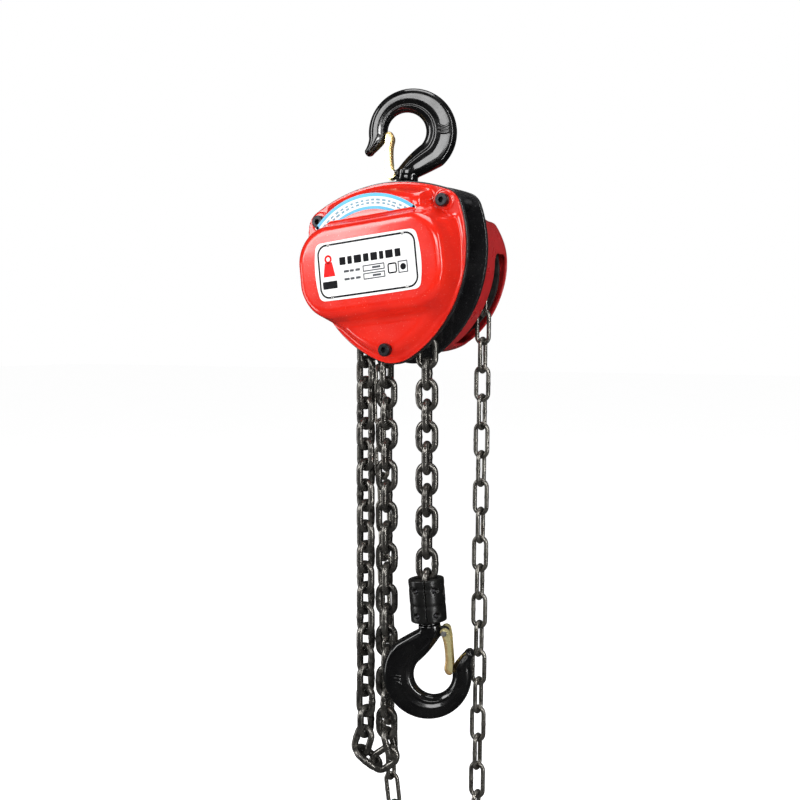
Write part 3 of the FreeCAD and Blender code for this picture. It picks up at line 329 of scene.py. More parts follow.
def slope(shape, points, reach=0.35):
    """Gradient of a signed distance."""
    out = np.zeros_like(points)
    for axis in range(3):
        shift = np.zeros(3)
        shift[axis] = reach
        ahead, behind = points + shift, points - shift
        out[:, axis] = shape(*ahead.T) - shape(*behind.T)
    return out / (2 * reach)


def carve(shape, low, high, step):
    """The surface of a solid given as a signed distance, with its smooth normals."""
    low, high = np.array(low, float), np.array(high, float)
    axes = [np.arange(low[k], high[k] + step, step) for k in range(3)]
    grid = np.meshgrid(*axes, indexing="ij")
    points, quads = surface_net(shape(*grid), low, step)
    for _ in range(2):
        g = slope(shape, points)
        push = shape(*points.T) / np.maximum((g * g).sum(1), 0.25)
        points = points - np.clip(push, -step, step)[:, None] * g
    g = slope(shape, points)
    return points, quads, g / np.maximum(np.linalg.norm(g, axis=1), 1e-6)[:, None]


def soft_max(a, b, k):
    """The greater of two distances, with the edge between them rounded over a width k."""
    h = np.maximum(k - np.abs(a - b), 0.0) / k
    return np.maximum(a, b) + h * h * k / 4


def soft_min(a, b, k):
    return -soft_max(-a, -b, k)


# --- the body's outline -------------------------------------------------------------------
def join_centre(one, two, big):
    """Centre of the big arc that touches two corner arcs from outside."""
    (x1, z1, r1), (x2, z2, r2) = one, two
    apart = math.hypot(x2 - x1, z2 - z1)
    ex, ez = (x2 - x1) / apart, (z2 - z1) / apart
    along = ((big - r1) ** 2 - (big - r2) ** 2 + apart ** 2) / (2 * apart)
    off = math.sqrt((big - r1) ** 2 - along ** 2)
    return x1 + ex * along + ez * off, z1 + ez * along - ex * off


SHIELD = [(-58.5, 42.0, 17.0), (58.5, 42.0, 17.0), (0.0, -46.0, 36.5)]
SIDES = [150.0, 110.0, 110.0]
JOINS = [join_centre(SHIELD[n], SHIELD[(n + 1) % 3], SIDES[n]) for n in range(3)]


def shield(u, w):
    """Signed distance to the outline that the plates and covers share."""
    out = np.full(np.shape(u), -1e9)
    for (cx, cz), r in zip(JOINS, SIDES):
        out = np.maximum(out, np.hypot(u - cx, w - cz) - r)
    for n, (x, z, r) in enumerate(SHIELD):
        before, after = JOINS[n - 1], JOINS[n]
        bx, bz, ax, az = x - before[0], z - before[1], x - after[0], z - after[1]
        du, dw = u - x, w - z
        corner = (bx * dw - bz * du <= 0) & (du * az - dw * ax <= 0)
        out = np.where(corner, np.hypot(du, dw) - r, out)
    return out


def round_box(u, w, half_u, half_w, r):
    """Signed distance to a rectangle with rounded corners."""
    qu, qw = np.abs(u) - (half_u - r), np.abs(w) - (half_w - r)
    return np.hypot(np.maximum(qu, 0), np.maximum(qw, 0)) + np.minimum(np.maximum(qu, qw), 0) - r


BOLTS = [(-61.0, 48.0), (61.0, 48.0), (0.0, -70.0)]
# heights above the side plate
DECK_TOP, DOME_TOP, BOSS_TOP, DRUM_TOP = 14.0, 20.0, 33.0, 54.0
BOSS_HALF_U, BOSS_HALF_W, BOSS_CORNER = 71.6, 46.0, 32.5
DRUM_R, HUB_R, HUB_TOP = 74.5, 24.0, 55.4
COVER_WALL, DRUM_WALL = 2.8, 2.0
SLOT_MIDDLE, SLOT_HEIGHT, SLOT_HALF = (-45.0, 35.5), 51.0, 13.8


def gear_cover_core(u, t, w):
    """Outer form of the gear cover; t is the height above the plate."""
    edge = shield(u, w)
    up = np.maximum(t, 0.0)
    deck = soft_max((edge + 5.2 + 0.42 * up) * 0.92, t - DECK_TOP, 5.0)
    for x, z in BOLTS[:2]:
        deck = soft_max(deck, 17.5 - np.hypot(u - x, w - z), 4.0)
    dome = soft_max((edge + 6.0 + 0.34 * up) * 0.95, t - DOME_TOP, 5.0)
    dome = soft_max(dome, (np.abs(u) - 53.0 + 0.42 * up) * 0.92, 6.0)
    dome = soft_max(dome, 8.0 - w, 6.0)
    rise = np.maximum(t - 5.0, 0.0)
    boss = round_box(u, w, BOSS_HALF_U - 0.085 * rise, BOSS_HALF_W - 0.3 * rise,
                     BOSS_CORNER - 0.09 * rise) * 0.96
    boss = soft_max(boss, t - BOSS_TOP, 6.5)
    boss = soft_max(boss, edge + 2.6, 3.0)
    return soft_min(soft_min(deck, dome, 7.0), boss, 5.0)


def gear_cover(u, y, w):
    """The gear cover as a solid: flange, screw seats, shell and cavity."""
    t = -PLATE_FACE - y
    core = gear_cover_core(u, t, w)
    flange = np.maximum(shield(u, w) + 1.2, np.abs(t - 1.0) - 1.0)
    outer = soft_min(core, flange, 3.0)
    for x, z in BOLTS[:2]:
        outer = soft_min(outer, soft_max(np.hypot(u - x, w - z) - 8.2, t - 3.4, 1.2), 1.5)
    shell = soft_max(outer, -(core + COVER_WALL), 0.4)
    return np.maximum(shell, -t)


def drum_core(u, t, w):
    """Outer form of the hand wheel cover, with a pocket round each stay bolt's nut."""
    up = np.maximum(t, 0.0)
    edge = soft_max(shield(u, w) + 1.8 + 0.01 * up, np.hypot(u, w) - DRUM_R + 0.03 * up, 5.0)
    core = soft_max(edge, t - DRUM_TOP, 9.0)
    for n, (x, z) in enumerate(BOLTS):
        far = (x * 1.033, z * 1.042) if n < 2 else (0.0, -73.5)
        pocket = (12.7 if n < 2 else 11.4) - np.hypot(u - far[0], w - far[1])
        if n == 2:
            pocket = np.minimum(pocket, 15.0 - t)
        core = soft_max(core, pocket, 4.0)
    return core


def wheel_cover(u, y, w):
    """The hand wheel cover as a solid: flange, hub, shell and the chain's two slots."""
    t = y - PLATE_FACE
    core = drum_core(u, t, w)
    flange = np.maximum(shield(u, w) + 1.6, np.abs(t - 0.75) - 0.75)
    hub = soft_max(np.hypot(u, w) - HUB_R, t - HUB_TOP, 1.5)
    outer = soft_min(soft_min(core, flange, 3.0), hub, 2.0)
    shell = soft_max(outer, -(core + DRUM_WALL), 0.4)
    slot = round_box(w - SLOT_MIDDLE[0], t - SLOT_MIDDLE[1], SLOT_HEIGHT, SLOT_HALF, 9.0)
    slot = soft_max(slot, 24.0 - np.abs(u), 4.0)
    shell = soft_max(shell, -slot, 1.2)
    return np.maximum(shell, -t)


def make_covers():
    step = 1.0
    points, quads, normals = carve(gear_cover, (-86, -55, -88), (86, -19, 82), step)
    piece("gear_cover_shell", hang(points), quads, "frame", RED, ["gear_cover"],
          hang_direction(normals))
    points, quads, normals = carve(wheel_cover, (-86, 18, -88), (86, 77, 82), step)
    piece("hand_wheel_cover_shell", hang(points), quads, "frame", SHADED_DRUM_RED,
          ["hand_wheel_cover"], hang_direction(normals))


# --- hooks --------------------------------------------------------------------------------
def arc(p0, p1, p2, count=28):
    """Points on the circle through three points, the last left out."""
    ax, az, bx, bz, cx, cz = *p0, *p1, *p2
    d = 2 * (ax * (bz - cz) + bx * (cz - az) + cx * (az - bz))
    a2, b2, c2 = ax**2 + az**2, bx**2 + bz**2, cx**2 + cz**2
    ux = (a2 * (bz - cz) + b2 * (cz - az) + c2 * (az - bz)) / d
    uz = (a2 * (cx - bx) + b2 * (ax - cx) + c2 * (bx - ax)) / d
    r = math.hypot(ax - ux, az - uz)
    first, second, last = (math.atan2(p[1] - uz, p[0] - ux) for p in (p0, p1, p2))
    turn = (last - first) % (2 * math.pi)
    if (second - first) % (2 * math.pi) > turn:
        turn -= 2 * math.pi
    angles = [first + turn * n / count for n in range(count)]
    return [(ux + r * math.cos(a), uz + r * math.sin(a)) for a in angles]


def on(centre_x, centre_z, r, degrees):
    """A point on a circle."""
    a = math.radians(degrees)
    return centre_x + r * math.cos(a), centre_z + r * math.sin(a)


BOWL = (0.0, -16.5, 16.5)
BACK = (5.0, -17.5, 38.0)
NECK_HALF, NECK_Z, SHANK_R = 7.4, -56.0, 8.0
LATCH_PIVOT, LATCH_PIN_R = (-12.7, -53.0), 1.56
MARKS_CENTRE, MARK_RADII = (32.0, -8.5), (5.0, 7.6, 10.2)
TOP_SHANK_END, BOTTOM_SHANK_END = -88.5, -76.0


def hook_outlines():
    """The hook's outline, and the outlines of all that lies on its bowl's side and its back's."""
    inner_end, inner_mouth = on(*BOWL, -42), on(*BOWL, 196)
    outer_mouth, outer_low = on(*BACK, 187), on(*BACK, -48)
    tip_in, tip, tip_out = (-28.2, -35.0), (-33.5, -37.2), (-36.4, -32.5)
    near = [(-8.6, -95.0)]
    near += arc((-8.6, -49.0), (0.5, -38.0), inner_end)
    near += arc(inner_end, on(*BOWL, 90), inner_mouth, 60)
    near += arc(inner_mouth, (-20.5, -27.5), tip_in)
    end = arc(tip_in, tip, tip_out, 12)
    far = arc(tip_out, (-33.9, -27.5), outer_mouth)
    far += arc(outer_mouth, on(*BACK, 75), outer_low, 80)
    far += arc(outer_low, (19.5, -51.2), (8.6, -56.0))
    far += [(8.6, -56.0), (8.6, -95.0)]
    return (np.array([(-8.6, -60.0)] + near[1:] + end + far[:-1] + [(8.6, -60.0)]),
            np.array(near + end[:7] + [(-90.0, -60.0), (-90.0, -95.0)]),
            np.array(end[6:] + far + [(-20.0, -95.0)]))


def outline_distance(outline, x, z):
    """Signed distance to a closed outline of many short edges."""
    shape = np.shape(x)
    p = np.stack([np.ravel(x), np.ravel(z)], 1)
    best, inside = np.full(len(p), 1e9), np.zeros(len(p), bool)
    for a, b in zip(outline, np.roll(outline, -1, 0)):
        e, q = b - a, p - a
        s = np.clip((q @ e) / max(e @ e, 1e-12), 0, 1)
        best = np.minimum(best, ((q - s[:, None] * e) ** 2).sum(1))
        spans = (a[1] <= p[:, 1]) != (b[1] <= p[:, 1])
        if spans.any():
            reach = a[0] + (p[:, 1] - a[1]) * e[0] / (e[1] if abs(e[1]) > 1e-12 else 1e-12)
            inside ^= spans & (p[:, 0] < reach)
    return (np.sqrt(best) * np.where(inside, -1, 1)).reshape(shape)


class Sampled:
    """An outline's distance, sampled once and read between the samples."""

    def __init__(self, outline, low, high, step):
        self.low, self.step = np.array(low, float), step
        x = np.arange(low[0], high[0] + step, step)
        z = np.arange(low[1], high[1] + step, step)
        self.values = outline_distance(outline, *np.meshgrid(x, z, indexing="ij"))

    def __call__(self, x, z):
        i = np.clip((x - self.low[0]) / self.step, 0, self.values.shape[0] - 1.001)
        j = np.clip((z - self.low[1]) / self.step, 0, self.values.shape[1] - 1.001)
        i0, j0 = i.astype(int), j.astype(int)
        i, j = i - i0, j - j0
        v = self.values
        return ((v[i0, j0] * (1 - i) + v[i0 + 1, j0] * i) * (1 - j)
                + (v[i0, j0 + 1] * (1 - i) + v[i0 + 1, j0 + 1] * i) * j)


HOOK, BOWL_SIDE, BACK_SIDE = (Sampled(outline, (-48, -92), (54, 30), 0.5)
                              for outline in hook_outlines())
# half the hook's thickness across its face, from the bowl's side to the back
SECTION_AT = np.linspace(0.0, 1.0, 121)
SECTION = np.interp(SECTION_AT, [0.0, 0.19, 0.25, 0.31, 0.5, 0.7, 0.88, 1.0],
                    [4.8, 6.2, 6.9, 6.2, 7.55, 7.75, 7.5, 6.4])
SECTION = np.convolve(np.pad(SECTION, 3, mode="edge"), np.ones(7) / 7, mode="valid")


def hook_solid(shank_end):
    """The hook with its seat at the origin and its shank along -Z."""
    def solid(x, y, z):
        edge = HOOK(x, z)
        # a ridge follows the bowl, with a hollow between it and the broad back
        to_bowl, to_back = np.abs(BOWL_SIDE(x, z)), np.abs(BACK_SIDE(x, z))
        across = to_bowl / np.maximum(to_bowl + to_back, 0.1)
        half = np.interp(across, SECTION_AT, SECTION)
        half = NECK_HALF + (half - NECK_HALF) * np.clip((z - NECK_Z) / 7.0, 0, 1)
        blade = soft_max(edge, (np.abs(y) - half) * 0.93, 5.5)
        blade = np.maximum(blade, -60.0 - z)
        shank = np.maximum(np.hypot(x, y) - SHANK_R, np.maximum(z + 50.0, shank_end - z))
        collar = soft_max(np.hypot(x, y) - SHANK_R - 0.8, np.abs(z + 56.5) - 2.0, 1.0)
        body = soft_min(soft_min(blade, shank, 3.0), collar, 2.0)
        from_pin = np.hypot(x - LATCH_PIVOT[0], z - LATCH_PIVOT[1])
        ear = soft_max(from_pin - 3.9, np.abs(y) - 3.2, 0.8)
        web = np.maximum(np.abs(x + 6.0) - 6.7, np.abs(z + 53.2) - 3.7)
        web = np.maximum(web, np.abs(y) - 3.2)
        body = soft_min(body, np.minimum(ear, web), 0.8)
        # forging marks: three curved ribs across the back
        along, up = x - MARKS_CENTRE[0], z - MARKS_CENTRE[1]
        for r in MARK_RADII:
            rib = np.abs(np.hypot(along, up) - r) - 0.55
            rib = np.maximum(rib, np.maximum(np.abs(along) - 4.6, z + 11.0))
            body = soft_min(body, soft_max(rib, np.abs(y) - 7.75, 0.6), 0.7)
        return np.maximum(body, LATCH_PIN_R - from_pin)
    return solid


def make_hooks():
    step = 0.75
    for name, end in (("top_hook", TOP_SHANK_END), ("bottom_hook", BOTTOM_SHANK_END)):
        low, high = (-45, -11, end - 2), (48, 11, 25)
        points, quads, normals = carve(hook_solid(end), low, high, step)
        if name == "bottom_hook":
            flip = np.array([-1.0, 1.0, -1.0])
            points = lower(points * flip + np.array([0.0, 0.0, LOWER_SEAT_Z]))
            normals = lower(normals * flip, True)
        else:
            points, normals = turn_z(points, TOP_HOOK_TURN), turn_z(normals, TOP_HOOK_TURN)
        piece(name + "_forging", points, quads, name, FORGED, [name], normals)


# --- hook block ---------------------------------------------------------------------------
BLOCK_R, BLOCK_TOP, BLOCK_LOW = 15.5, -398.0, -434.5
SHANK_TOP, GROOVES_Z = -421.0, -412.5


def block_half(side):
    """One half of the lower block: a grooved cylinder less its chain, shank and bolt pockets."""
    a, t = math.radians(LOWER_LEAN), math.radians(FALL_TWIST - LOWER_HOOK_TURN)
    middle, half_height = (BLOCK_TOP + BLOCK_LOW) / 2, (BLOCK_TOP - BLOCK_LOW) / 2

    def solid(x, y, z):
        r = np.hypot(x, y)
        groove = 0.3 * np.exp(-((np.abs(z - GROOVES_Z) - 7.4) / 1.6) ** 2)
        skin = r - BLOCK_R + 0.15 + groove
        skin = soft_max(skin, np.abs(z - middle) - half_height + 0.05, 1.5)
        skin = soft_max(skin, 0.4 - side * x, 0.8)
        # the chain's socket and pin stay upright while the block leans
        dz = z - CHAIN_PIN_Z
        u, h = x * math.cos(a) - dz * math.sin(a), x * math.sin(a) + dz * math.cos(a)
        u, v = u * math.cos(t) + y * math.sin(t), y * math.cos(t) - u * math.sin(t)
        deep = np.maximum(np.maximum(np.abs(u) - 3.5, np.abs(v) - 10.5), -9.9 - h)
        shallow = np.maximum(np.abs(u) - 10.5, np.abs(v) - 3.5)
        shallow = np.maximum(shallow, BLOCK_TOP - 3.4 - CHAIN_PIN_Z - h)
        holes = np.minimum(np.minimum(deep, shallow), np.hypot(v, h) - 3.05)
        holes = np.minimum(holes, np.maximum(r - 8.1, z - SHANK_TOP - 1.0))
        holes = np.minimum(holes, np.maximum(r - 11.3, np.abs(z - SHANK_TOP + 2.85) - 3.45))
        for along in (-12.4, 12.4):
            for height in (BLOCK_LOW + 6.5, BLOCK_TOP - 9.0):
                bolt = np.hypot(y - along, z - height)
                bore = np.minimum(bolt - 1.3, np.maximum(bolt - 2.1, 6.5 - np.abs(x)))
                holes = np.minimum(holes, bore)
        return soft_max(skin, -holes, 0.7)
    return solid


def make_block():
    step = 0.6
    for side, name in ((-1, "left"), (1, "right")):
        low, high = (-17.5, -17.5, -437), (17.5, 17.5, -396)
        points, quads, normals = carve(block_half(side), low, high, step)
        piece("hook_block_" + name + "_casting", lower(points), quads, "lower_block", SATIN,
              ["hook_block_" + name], lower(normals, True))


# --- chains -------------------------------------------------------------------------------
def link_mesh(pitch, wire, width, weld):
    """Rings of one link about its middle, long along Z and wide along X, with its weld."""
    bend = (width - wire) / 2
    half = (pitch + wire) / 2 - bend
    middle = []
    for n in range(8):
        middle.append((bend, -half + 2 * half * n / 8, 1, 0))
    for n in range(12):
        a = math.pi * n / 12
        middle.append((bend * math.cos(a), half + bend * math.sin(a), math.cos(a), math.sin(a)))
    for n in range(8):
        middle.append((-bend, half - 2 * half * n / 8, -1, 0))
    for n in range(12):
        a = math.pi + math.pi * n / 12
        middle.append((bend * math.cos(a), -half + bend * math.sin(a), math.cos(a), math.sin(a)))
    sides, points = 14, []
    for x, z, nx, nz in middle:
        swell = 1 + weld * math.exp(-(z / (0.28 * wire)) ** 2) if x < -0.9 * bend else 1.0
        r = (wire / 2 - 0.06) * swell
        for k in range(sides):
            a = 2 * math.pi * k / sides
            points.append((x + nx * r * math.cos(a), r * math.sin(a), z + nz * r * math.cos(a)))
    count = len(middle)
    faces = [(i * sides + k, i * sides + (k + 1) % sides,
              (i + 1) % count * sides + (k + 1) % sides, (i + 1) % count * sides + k)
             for i in range(count) for k in range(sides)]
    return np.array(points), np.array(faces)


LOAD_LINK = link_mesh(LOAD_PITCH, LOAD_WIRE, LOAD_WIDTH, 0.13)
HAND_LINK = link_mesh(HAND_PITCH, HAND_WIRE, HAND_WIDTH, 0.1)


def chain_mesh(joints, rolls, link, jitter=0.0):
    """One mesh of the links between joints given as (x, y, z) from the shaft."""
    points, faces, count = [], [], 0
    across_y = np.array([0.0, 1.0, 0.0])
    for n in range(len(joints) - 1):
        start, end = np.array(joints[n], float), np.array(joints[n + 1], float)
        along = (end - start) / np.linalg.norm(end - start)
        wide = np.cross(across_y, along)
        wide /= np.linalg.norm(wide)
        thick = np.cross(along, wide)
        roll = rolls[n] + random.uniform(-jitter, jitter)
        a = math.radians(roll if along[2] >= 0 else -roll)
        sine, cosine = math.sin(a), math.cos(a)
        wide, thick = wide * cosine + thick * sine, thick * cosine - wide * sine
        flip = random.choice((-1.0, 1.0))
        basis = np.stack([wide * flip, thick * flip, along])
        points.append(link[0] @ basis + (start + end) / 2 + np.array([SHAFT_X, 0.0, SHAFT_Z]))
        faces.append(link[1] + count)
        count += len(link[0])
    return np.concatenate(points), np.concatenate(faces)


def apothem(pitch, pockets):
    """Distance from a pocketed wheel's axis to its chain."""
    return pitch / (2 * math.tan(math.pi / pockets / 2))


LOAD_R, HAND_R = apothem(LOAD_PITCH, LOAD_POCKETS), apothem(HAND_PITCH, HAND_POCKETS)
FALL_X = SHAFT_X + LOAD_R


def wheel_joints(pitch, pockets, y):
    """Joints of the links that lie over the top of a pocketed wheel."""
    step = math.pi / pockets
    r = pitch / (2 * math.sin(step / 2))
    return [(r * math.cos(step * (n - 0.5)), y, r * math.sin(step * (n - 0.5)))
            for n in range(pockets + 2)]


def closing_joints(start, end, pitch, count):
    """Joints, as (along, z), of a loop of equal links that hangs from start to end."""
    span = math.hypot(end[0] - start[0], end[1] - start[1])
    low, high = 1e-3, math.pi / count
    for _ in range(60):
        half = (low + high) / 2
        if math.sin(count * half) / math.sin(half) * pitch > span:
            low = half
        else:
            high = half
    heading = math.atan2(end[1] - start[1], end[0] - start[0]) - half * (count - 1)
    joints = [start]
    for _ in range(count):
        x, z = joints[-1]
        joints.append((x + pitch * math.cos(heading), z + pitch * math.sin(heading)))
        heading += 2 * half
    return joints


MAIN_FALL_LINKS, LIFTED_LINKS = 16, 4
FALL_TWIST, SLACK_TWIST = 14.0, -15.0
SLACK_X, TAIL_X, TAIL_Y = -33.2, -14.8, 5.0
SLACK_LINKS, LOOP_LINKS = 22, 4


def make_load_chain():
    wrap = wheel_joints(LOAD_PITCH, LOAD_POCKETS, 0.0)
    points, faces = chain_mesh(wrap, [90.0 * (n % 2) for n in range(len(wrap) - 1)], LOAD_LINK)
    piece("load_chain_on_sheave", points, faces, "frame", LOAD_STEEL,
          ["load_chain_wrap"])

    fall = [(LOAD_R, 0.0, -LOAD_PITCH / 2 - LOAD_PITCH * n) for n in range(MAIN_FALL_LINKS)]
    rolls = [90.0 * ((n + 1) % 2) + FALL_TWIST * min(1.0, (n + 1) / 4)
             for n in range(MAIN_FALL_LINKS - 1)]
    cut = MAIN_FALL_LINKS - 1 - LIFTED_LINKS
    for name, body, a, b in (("load_chain_fall_upper", "frame", 0, cut),
                             ("load_chain_fall_lower", "lower_block", cut, MAIN_FALL_LINKS - 1)):
        points, faces = chain_mesh(fall[a:b + 1], rolls[a:b], LOAD_LINK)
        piece(name + "_links", points, faces, body, LOAD_STEEL, [name])

    lean = math.asin((SLACK_X + LOAD_R) / (3 * LOAD_PITCH))
    joints = [(-LOAD_R, -LOAD_PITCH / 2)]
    for n in range(SLACK_LINKS):
        x, z = joints[-1]
        tilt = lean if n < 3 else 0.0
        joints.append((x + LOAD_PITCH * math.sin(tilt), z - LOAD_PITCH * math.cos(tilt)))
    foot = joints[-1]
    gap = math.hypot(TAIL_X - foot[0], TAIL_Y)
    route = [(x, 0.0, z) for x, z in joints]
    for s, z in closing_joints((0.0, foot[1]), (gap, foot[1]), LOAD_PITCH, LOOP_LINKS)[1:]:
        route.append((foot[0] + (TAIL_X - foot[0]) * s / gap, TAIL_Y * s / gap, z))
    for n in range(SLACK_LINKS - 3):
        route.append((TAIL_X, TAIL_Y, foot[1] + LOAD_PITCH * (n + 1)))
    rolls = []
    for n in range(len(route) - 1):
        down = min(1.0, n / 5) * SLACK_TWIST
        up = min(1.0, (len(route) - 2 - n) / 5) * FALL_TWIST
        part = min(1.0, max(0.0, (n - SLACK_LINKS + 4) / 10))
        rolls.append(90.0 * (n % 2) + down * (1 - part) + up * part)
    points, faces = chain_mesh(route, rolls, LOAD_LINK, 2.0)
    piece("load_chain_slack_links", points, faces, "frame", LOAD_STEEL,
          ["load_chain_slack"])


HAND_FALL_LINKS, HAND_LOOP_LINKS = 18, 6
RIGHT_LEAN, LEFT_LEAN = 0.85, 2.0


def make_hand_chain():
    wrap = wheel_joints(HAND_PITCH, HAND_POCKETS, HAND_Y)
    points, faces = chain_mesh(wrap, [90.0 * (n % 2) for n in range(len(wrap) - 1)], HAND_LINK)
    piece("hand_chain_on_wheel", points, faces, "frame", HAND_STEEL,
          ["hand_chain_wrap"])

    def fall(side, degrees):
        dx, dz = -side * math.sin(math.radians(degrees)), -math.cos(math.radians(degrees))
        return [(side * HAND_R + HAND_PITCH * n * dx, -HAND_PITCH / 2 + HAND_PITCH * n * dz)
                for n in range(HAND_FALL_LINKS + 1)]
    right, left = fall(1, RIGHT_LEAN), fall(-1, LEFT_LEAN)
    loop = closing_joints(left[-1], right[-1], HAND_PITCH, HAND_LOOP_LINKS)
    route = [(x, HAND_Y, z) for x, z in left + loop[1:-1] + right[::-1]]
    rolls = [90.0 * (n % 2) for n in range(len(route) - 1)]
    points, faces = chain_mesh(route, rolls, HAND_LINK, 3.0)
    piece("hand_chain_links", points, faces, "frame", HAND_STEEL, ["hand_chain"])


# --- print --------------------------------------------------------------------------------
class Print:
    """Flat marks of one ink, a hair above a label."""

    def __init__(self):
        self.points, self.faces = [], []

    def polygon(self, outline, y):
        first = len(self.points)
        self.points += [(u, y, w) for u, w in outline]
        self.faces.append(tuple(range(first, first + len(outline))))

    def strip(self, outer, inner, y):
        first, n = len(self.points), len(outer)
        self.points += [(u, y, w) for u, w in outer] + [(u, y, w) for u, w in inner]
        self.faces += [(first + k, first + (k + 1) % n, first + n + (k + 1) % n, first + n + k)
                       for k in range(n)]

    def make(self, name, material, slot="label"):
        piece(name, hang(np.array(self.points)), self.faces, "frame", material)


def rounded(cu, cw, half_u, half_w, r, steps=8):
    """Outline of a rectangle with rounded corners."""
    out = []
    for su, sw, a0 in ((1, 1, 0), (-1, 1, 90), (-1, -1, 180), (1, -1, 270)):
        for n in range(steps + 1):
            a = math.radians(a0 + 90 * n / steps)
            out.append((cu + su * (half_u - r) + r * math.cos(a),
                        cw + sw * (half_w - r) + r * math.sin(a)))
    return out


def frame_mark(ink, cu, cw, half_u, half_w, r, line, y):
    """A printed outline, line wide."""
    ink.strip(rounded(cu, cw, half_u, half_w, r),
              rounded(cu, cw, half_u - line, half_w - line, max(r - line, 0.05)), y)


NAMEPLATE_FACE, ARC_LABEL_FACE = -53.68, -40.47
ARC_CENTRE, ARC_INNER, ARC_OUTER = (-4.0, -10.0), 58.5, 72.0
ARC_START, ARC_END = 48.6, 135.4


def arc_sector(r0, r1, b0, b1, steps):
    """Quads of a ring's sector on the arc label, between two radii and two angles."""
    far = [on(*ARC_CENTRE, r1, b0 + (b1 - b0) * n / steps) for n in range(steps + 1)]
    near = [on(*ARC_CENTRE, r0, b0 + (b1 - b0) * n / steps) for n in range(steps + 1)]
    for n in range(steps):
        yield [far[n], far[n + 1], near[n + 1], near[n]]


def make_print():
    y = NAMEPLATE_FACE
    ink, grey, red, blue, pale = (Print() for _ in range(5))
    frame_mark(ink, 0.0, 0.0, 47.4, 22.9, 9.0, 1.6, y)
    # a load pictogram in place of the rating
    red.polygon([(-42.9, -4.5), (-31.1, -4.5), (-33.4, 7.4), (-40.6, 7.4)], y)
    red.strip([on(-37.0, 10.2, 3.7, 15 * n) for n in range(24)],
              [on(-37.0, 10.2, 1.8, 15 * n) for n in range(24)], y)
    ink.polygon(rounded(-37.0, -11.6, 7.2, 3.2, 0.8), y)
    # plain bars in place of the title
    u = -26.0
    for width in (6.0, 4.4, 7.2, 5.2, 6.4, 4.0, 7.0, 5.4):
        ink.polygon(rounded(u + width / 2, 7.0, width / 2, 3.3, 0.7), y)
        u += width + 1.9
    for w in (-2.0, -8.6):
        for n, half in enumerate((3.4, 2.6, 3.0)):
            grey.polygon(rounded(-21.0 + 5.6 * n + half * 0.3, w, half * 0.75, 1.0, 0.3), y)
        frame_mark(grey, 6.5, w, 10.5, 2.7, 0.5, 1.0, y)
        grey.polygon(rounded(9.0, w, 4.0, 0.9, 0.3), y)
    frame_mark(ink, 24.0, -5.0, 4.4, 4.4, 2.0, 1.3, y)
    frame_mark(grey, 34.0, -5.0, 4.6, 5.0, 0.5, 1.0, y)
    ink.polygon([on(34.2, -5.0, 2.7, 20 * n) for n in range(18)], y - 0.02)

    # the arc label: a blue edge all round and rows of faint marks
    y = ARC_LABEL_FACE
    for r0, r1 in ((ARC_INNER + 0.1, ARC_INNER + 2.5), (ARC_OUTER - 2.9, ARC_OUTER - 0.1)):
        for quad in arc_sector(r0, r1, ARC_START, ARC_END, 48):
            blue.polygon(quad, y)
    for b in (ARC_START, ARC_END - 2.0):
        for quad in arc_sector(ARC_INNER + 0.1, ARC_OUTER - 0.1, b, b + 2.0, 1):
            blue.polygon(quad, y)
    b = ARC_START + 5.0
    while b < ARC_END - 7.0:
        width = random.uniform(2.6, 3.8)
        for k in range(2):
            r = ARC_INNER + 4.4 + 2.6 * k
            far, end = r + random.uniform(1.3, 1.8), b + width * random.uniform(0.75, 1)
            for quad in arc_sector(r, far, b, end, 2):
                pale.polygon(quad, y)
        b += width + 1.5
    ink.make("printed_dark_marks", INK)
    grey.make("printed_grey_marks", GREY_INK)
    red.make("printed_red_mark", RED_INK)
    blue.make("printed_blue_edge", BLUE_INK)
    pale.make("printed_pale_marks", PALE_INK)


# --- the frame's own nodes ----------------------------------------------------------------
# widths of the soft edges that the frame's nodes get
BEVELS = {"front_side_plate": 0.5, "rear_side_plate": 0.5, "top_latch": 0.25,
          "bottom_latch": 0.25, "nameplate": 0.2, "stay_bolts": 0.3, "gear_cover_screws": 0.25,
          "wheel_cover_nuts": 0.35, "hand_wheel": 0.5, "hook_yoke": 0.4, "castle_nut": 0.25}


def finish_nodes():
    """Material and soft edges for the frame's own nodes."""
    slots = {s["node"]: s["material_slot"] for s in frame["record"]["subparts"]}
    for name, obj in frame["nodes"].items():
        obj.data.materials.clear()
        obj.data.materials.append(SLOT_MATERIAL[slots[name]])
        weld = obj.modifiers.new("weld", "WELD")
        weld.merge_threshold = 0.00001
        if name in BEVELS:
            bevel = obj.modifiers.new("soft_edges", "BEVEL")
            bevel.width = BEVELS[name] * MM
            bevel.segments = 2
            bevel.limit_method = "ANGLE"
            bevel.angle_limit = math.radians(35)
            bevel.harden_normals = True


# --- studio -------------------------------------------------------------------------------
def area(name, place, target, size, power):
    """A white rectangular lamp that faces its target."""
    light = bpy.data.lights.new(name, "AREA")
    light.shape = "RECTANGLE"
    light.size, light.size_y = size
    light.energy = power
    obj = bpy.data.objects.new(name, light)
    bpy.context.scene.collection.objects.link(obj)
    obj.location = place
    obj.rotation_euler = (Vector(target) - Vector(place)).to_track_quat("-Z", "Y").to_euler()


VIEW_TURN = math.radians(29.5)
VIEW_DISTANCE, VIEW_BELOW, VIEW_ASIDE = 1036.3, 55.5, 1.12
LENS, FRAME_SHIFT = 54.0, -0.08375
FLOOR_Z = -0.74
SKY_DIFFUSE, SKY_GLOSSY = 0.28, 0.045


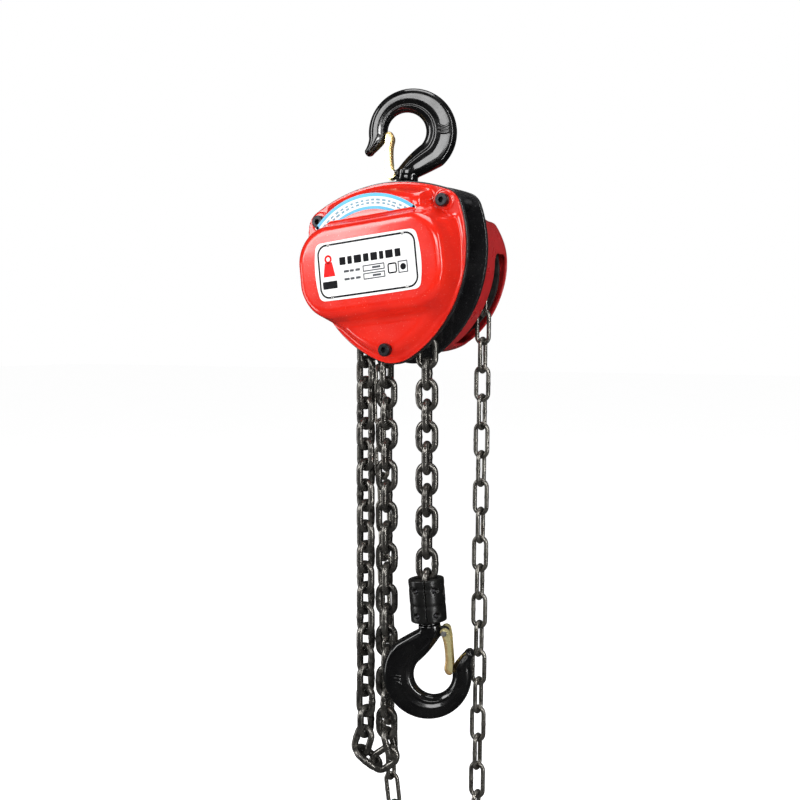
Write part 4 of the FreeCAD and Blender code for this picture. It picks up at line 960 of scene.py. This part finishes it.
def studio():
    a = VIEW_TURN
    right, forward = (math.cos(a), math.sin(a)), (-math.sin(a), math.cos(a))
    x = SHAFT_X - forward[0] * VIEW_DISTANCE + right[0] * VIEW_ASIDE
    y = -forward[1] * VIEW_DISTANCE + right[1] * VIEW_ASIDE
    camera = bpy.data.cameras.new("camera")
    camera.lens, camera.sensor_width, camera.sensor_fit = LENS, 36.0, "HORIZONTAL"
    camera.shift_y = FRAME_SHIFT
    camera.clip_start, camera.clip_end = 0.05, 60.0
    obj = bpy.data.objects.new("camera", camera)
    bpy.context.scene.collection.objects.link(obj)
    obj.location = (x * MM, y * MM, (SHAFT_Z - VIEW_BELOW) * MM)
    obj.rotation_euler = (math.pi / 2, 0.0, a)
    bpy.context.scene.camera = obj

    bpy.ops.mesh.primitive_plane_add(size=30.0, location=(0, 0, FLOOR_Z))
    floor = bpy.context.object
    floor.name = "floor"
    n = Nodes("pale_floor")
    paths = n.add("ShaderNodeLightPath").outputs
    seen, mirrored = paths["Is Camera Ray"], paths["Is Glossy Ray"]
    paper = n.mix(n.remap(n.noise(3.0), 0.3, 0.7, 0.0, 1.0), (0.9, 0.9, 0.9), (0.92, 0.92, 0.92))
    # the camera sees an evenly lit sweep; paint and steel reflect a darker one
    n.set("Base Color", n.mix(mirrored, paper, (0.02, 0.02, 0.02)))
    n.set("Roughness", 0.9)
    n.set("Emission Color", (1, 1, 1, 1))
    n.set("Emission Strength", n.remap(seen, 0.0, 1.0, 0.005, 0.75))
    floor.data.materials.append(n.material)

    world = bpy.data.worlds.new("studio")
    bpy.context.scene.world = world
    world.use_nodes = True
    tree = world.node_tree
    background = tree.nodes["Background"]
    path = tree.nodes.new("ShaderNodeLightPath")
    soft = tree.nodes.new("ShaderNodeMapRange")
    soft.inputs["To Min"].default_value = SKY_DIFFUSE
    soft.inputs["To Max"].default_value = SKY_GLOSSY
    tree.links.new(path.outputs["Is Glossy Ray"], soft.inputs["Value"])
    level = tree.nodes.new("ShaderNodeMapRange")
    level.inputs["To Max"].default_value = 1.0
    tree.links.new(path.outputs["Is Camera Ray"], level.inputs["Value"])
    tree.links.new(soft.outputs[0], level.inputs["To Min"])
    tree.links.new(level.outputs[0], background.inputs["Strength"])
    background.inputs["Color"].default_value = (1, 1, 1, 1)

    middle = (0.0, 0.0, -0.2)
    area("key_left", (-1.0, -1.3, 0.5), middle, (0.5, 1.1), 14)
    area("strip_right", (1.25, -0.55, -0.12), middle, (0.09, 1.9), 13)
    area("front_fill", (0.55, -1.9, 0.45), (0.0, 0.0, 0.0), (1.0, 0.55), 13)
    area("top", (0.1, 0.05, 1.1), middle, (1.0, 0.7), 9)
    area("low_left", (-1.0, -0.5, -0.5), middle, (0.25, 0.9), 3)
    bpy.context.scene.view_settings.view_transform = "Standard"


make_covers()
make_hooks()
make_block()
make_load_chain()
make_hand_chain()
make_print()
finish_nodes()
studio()
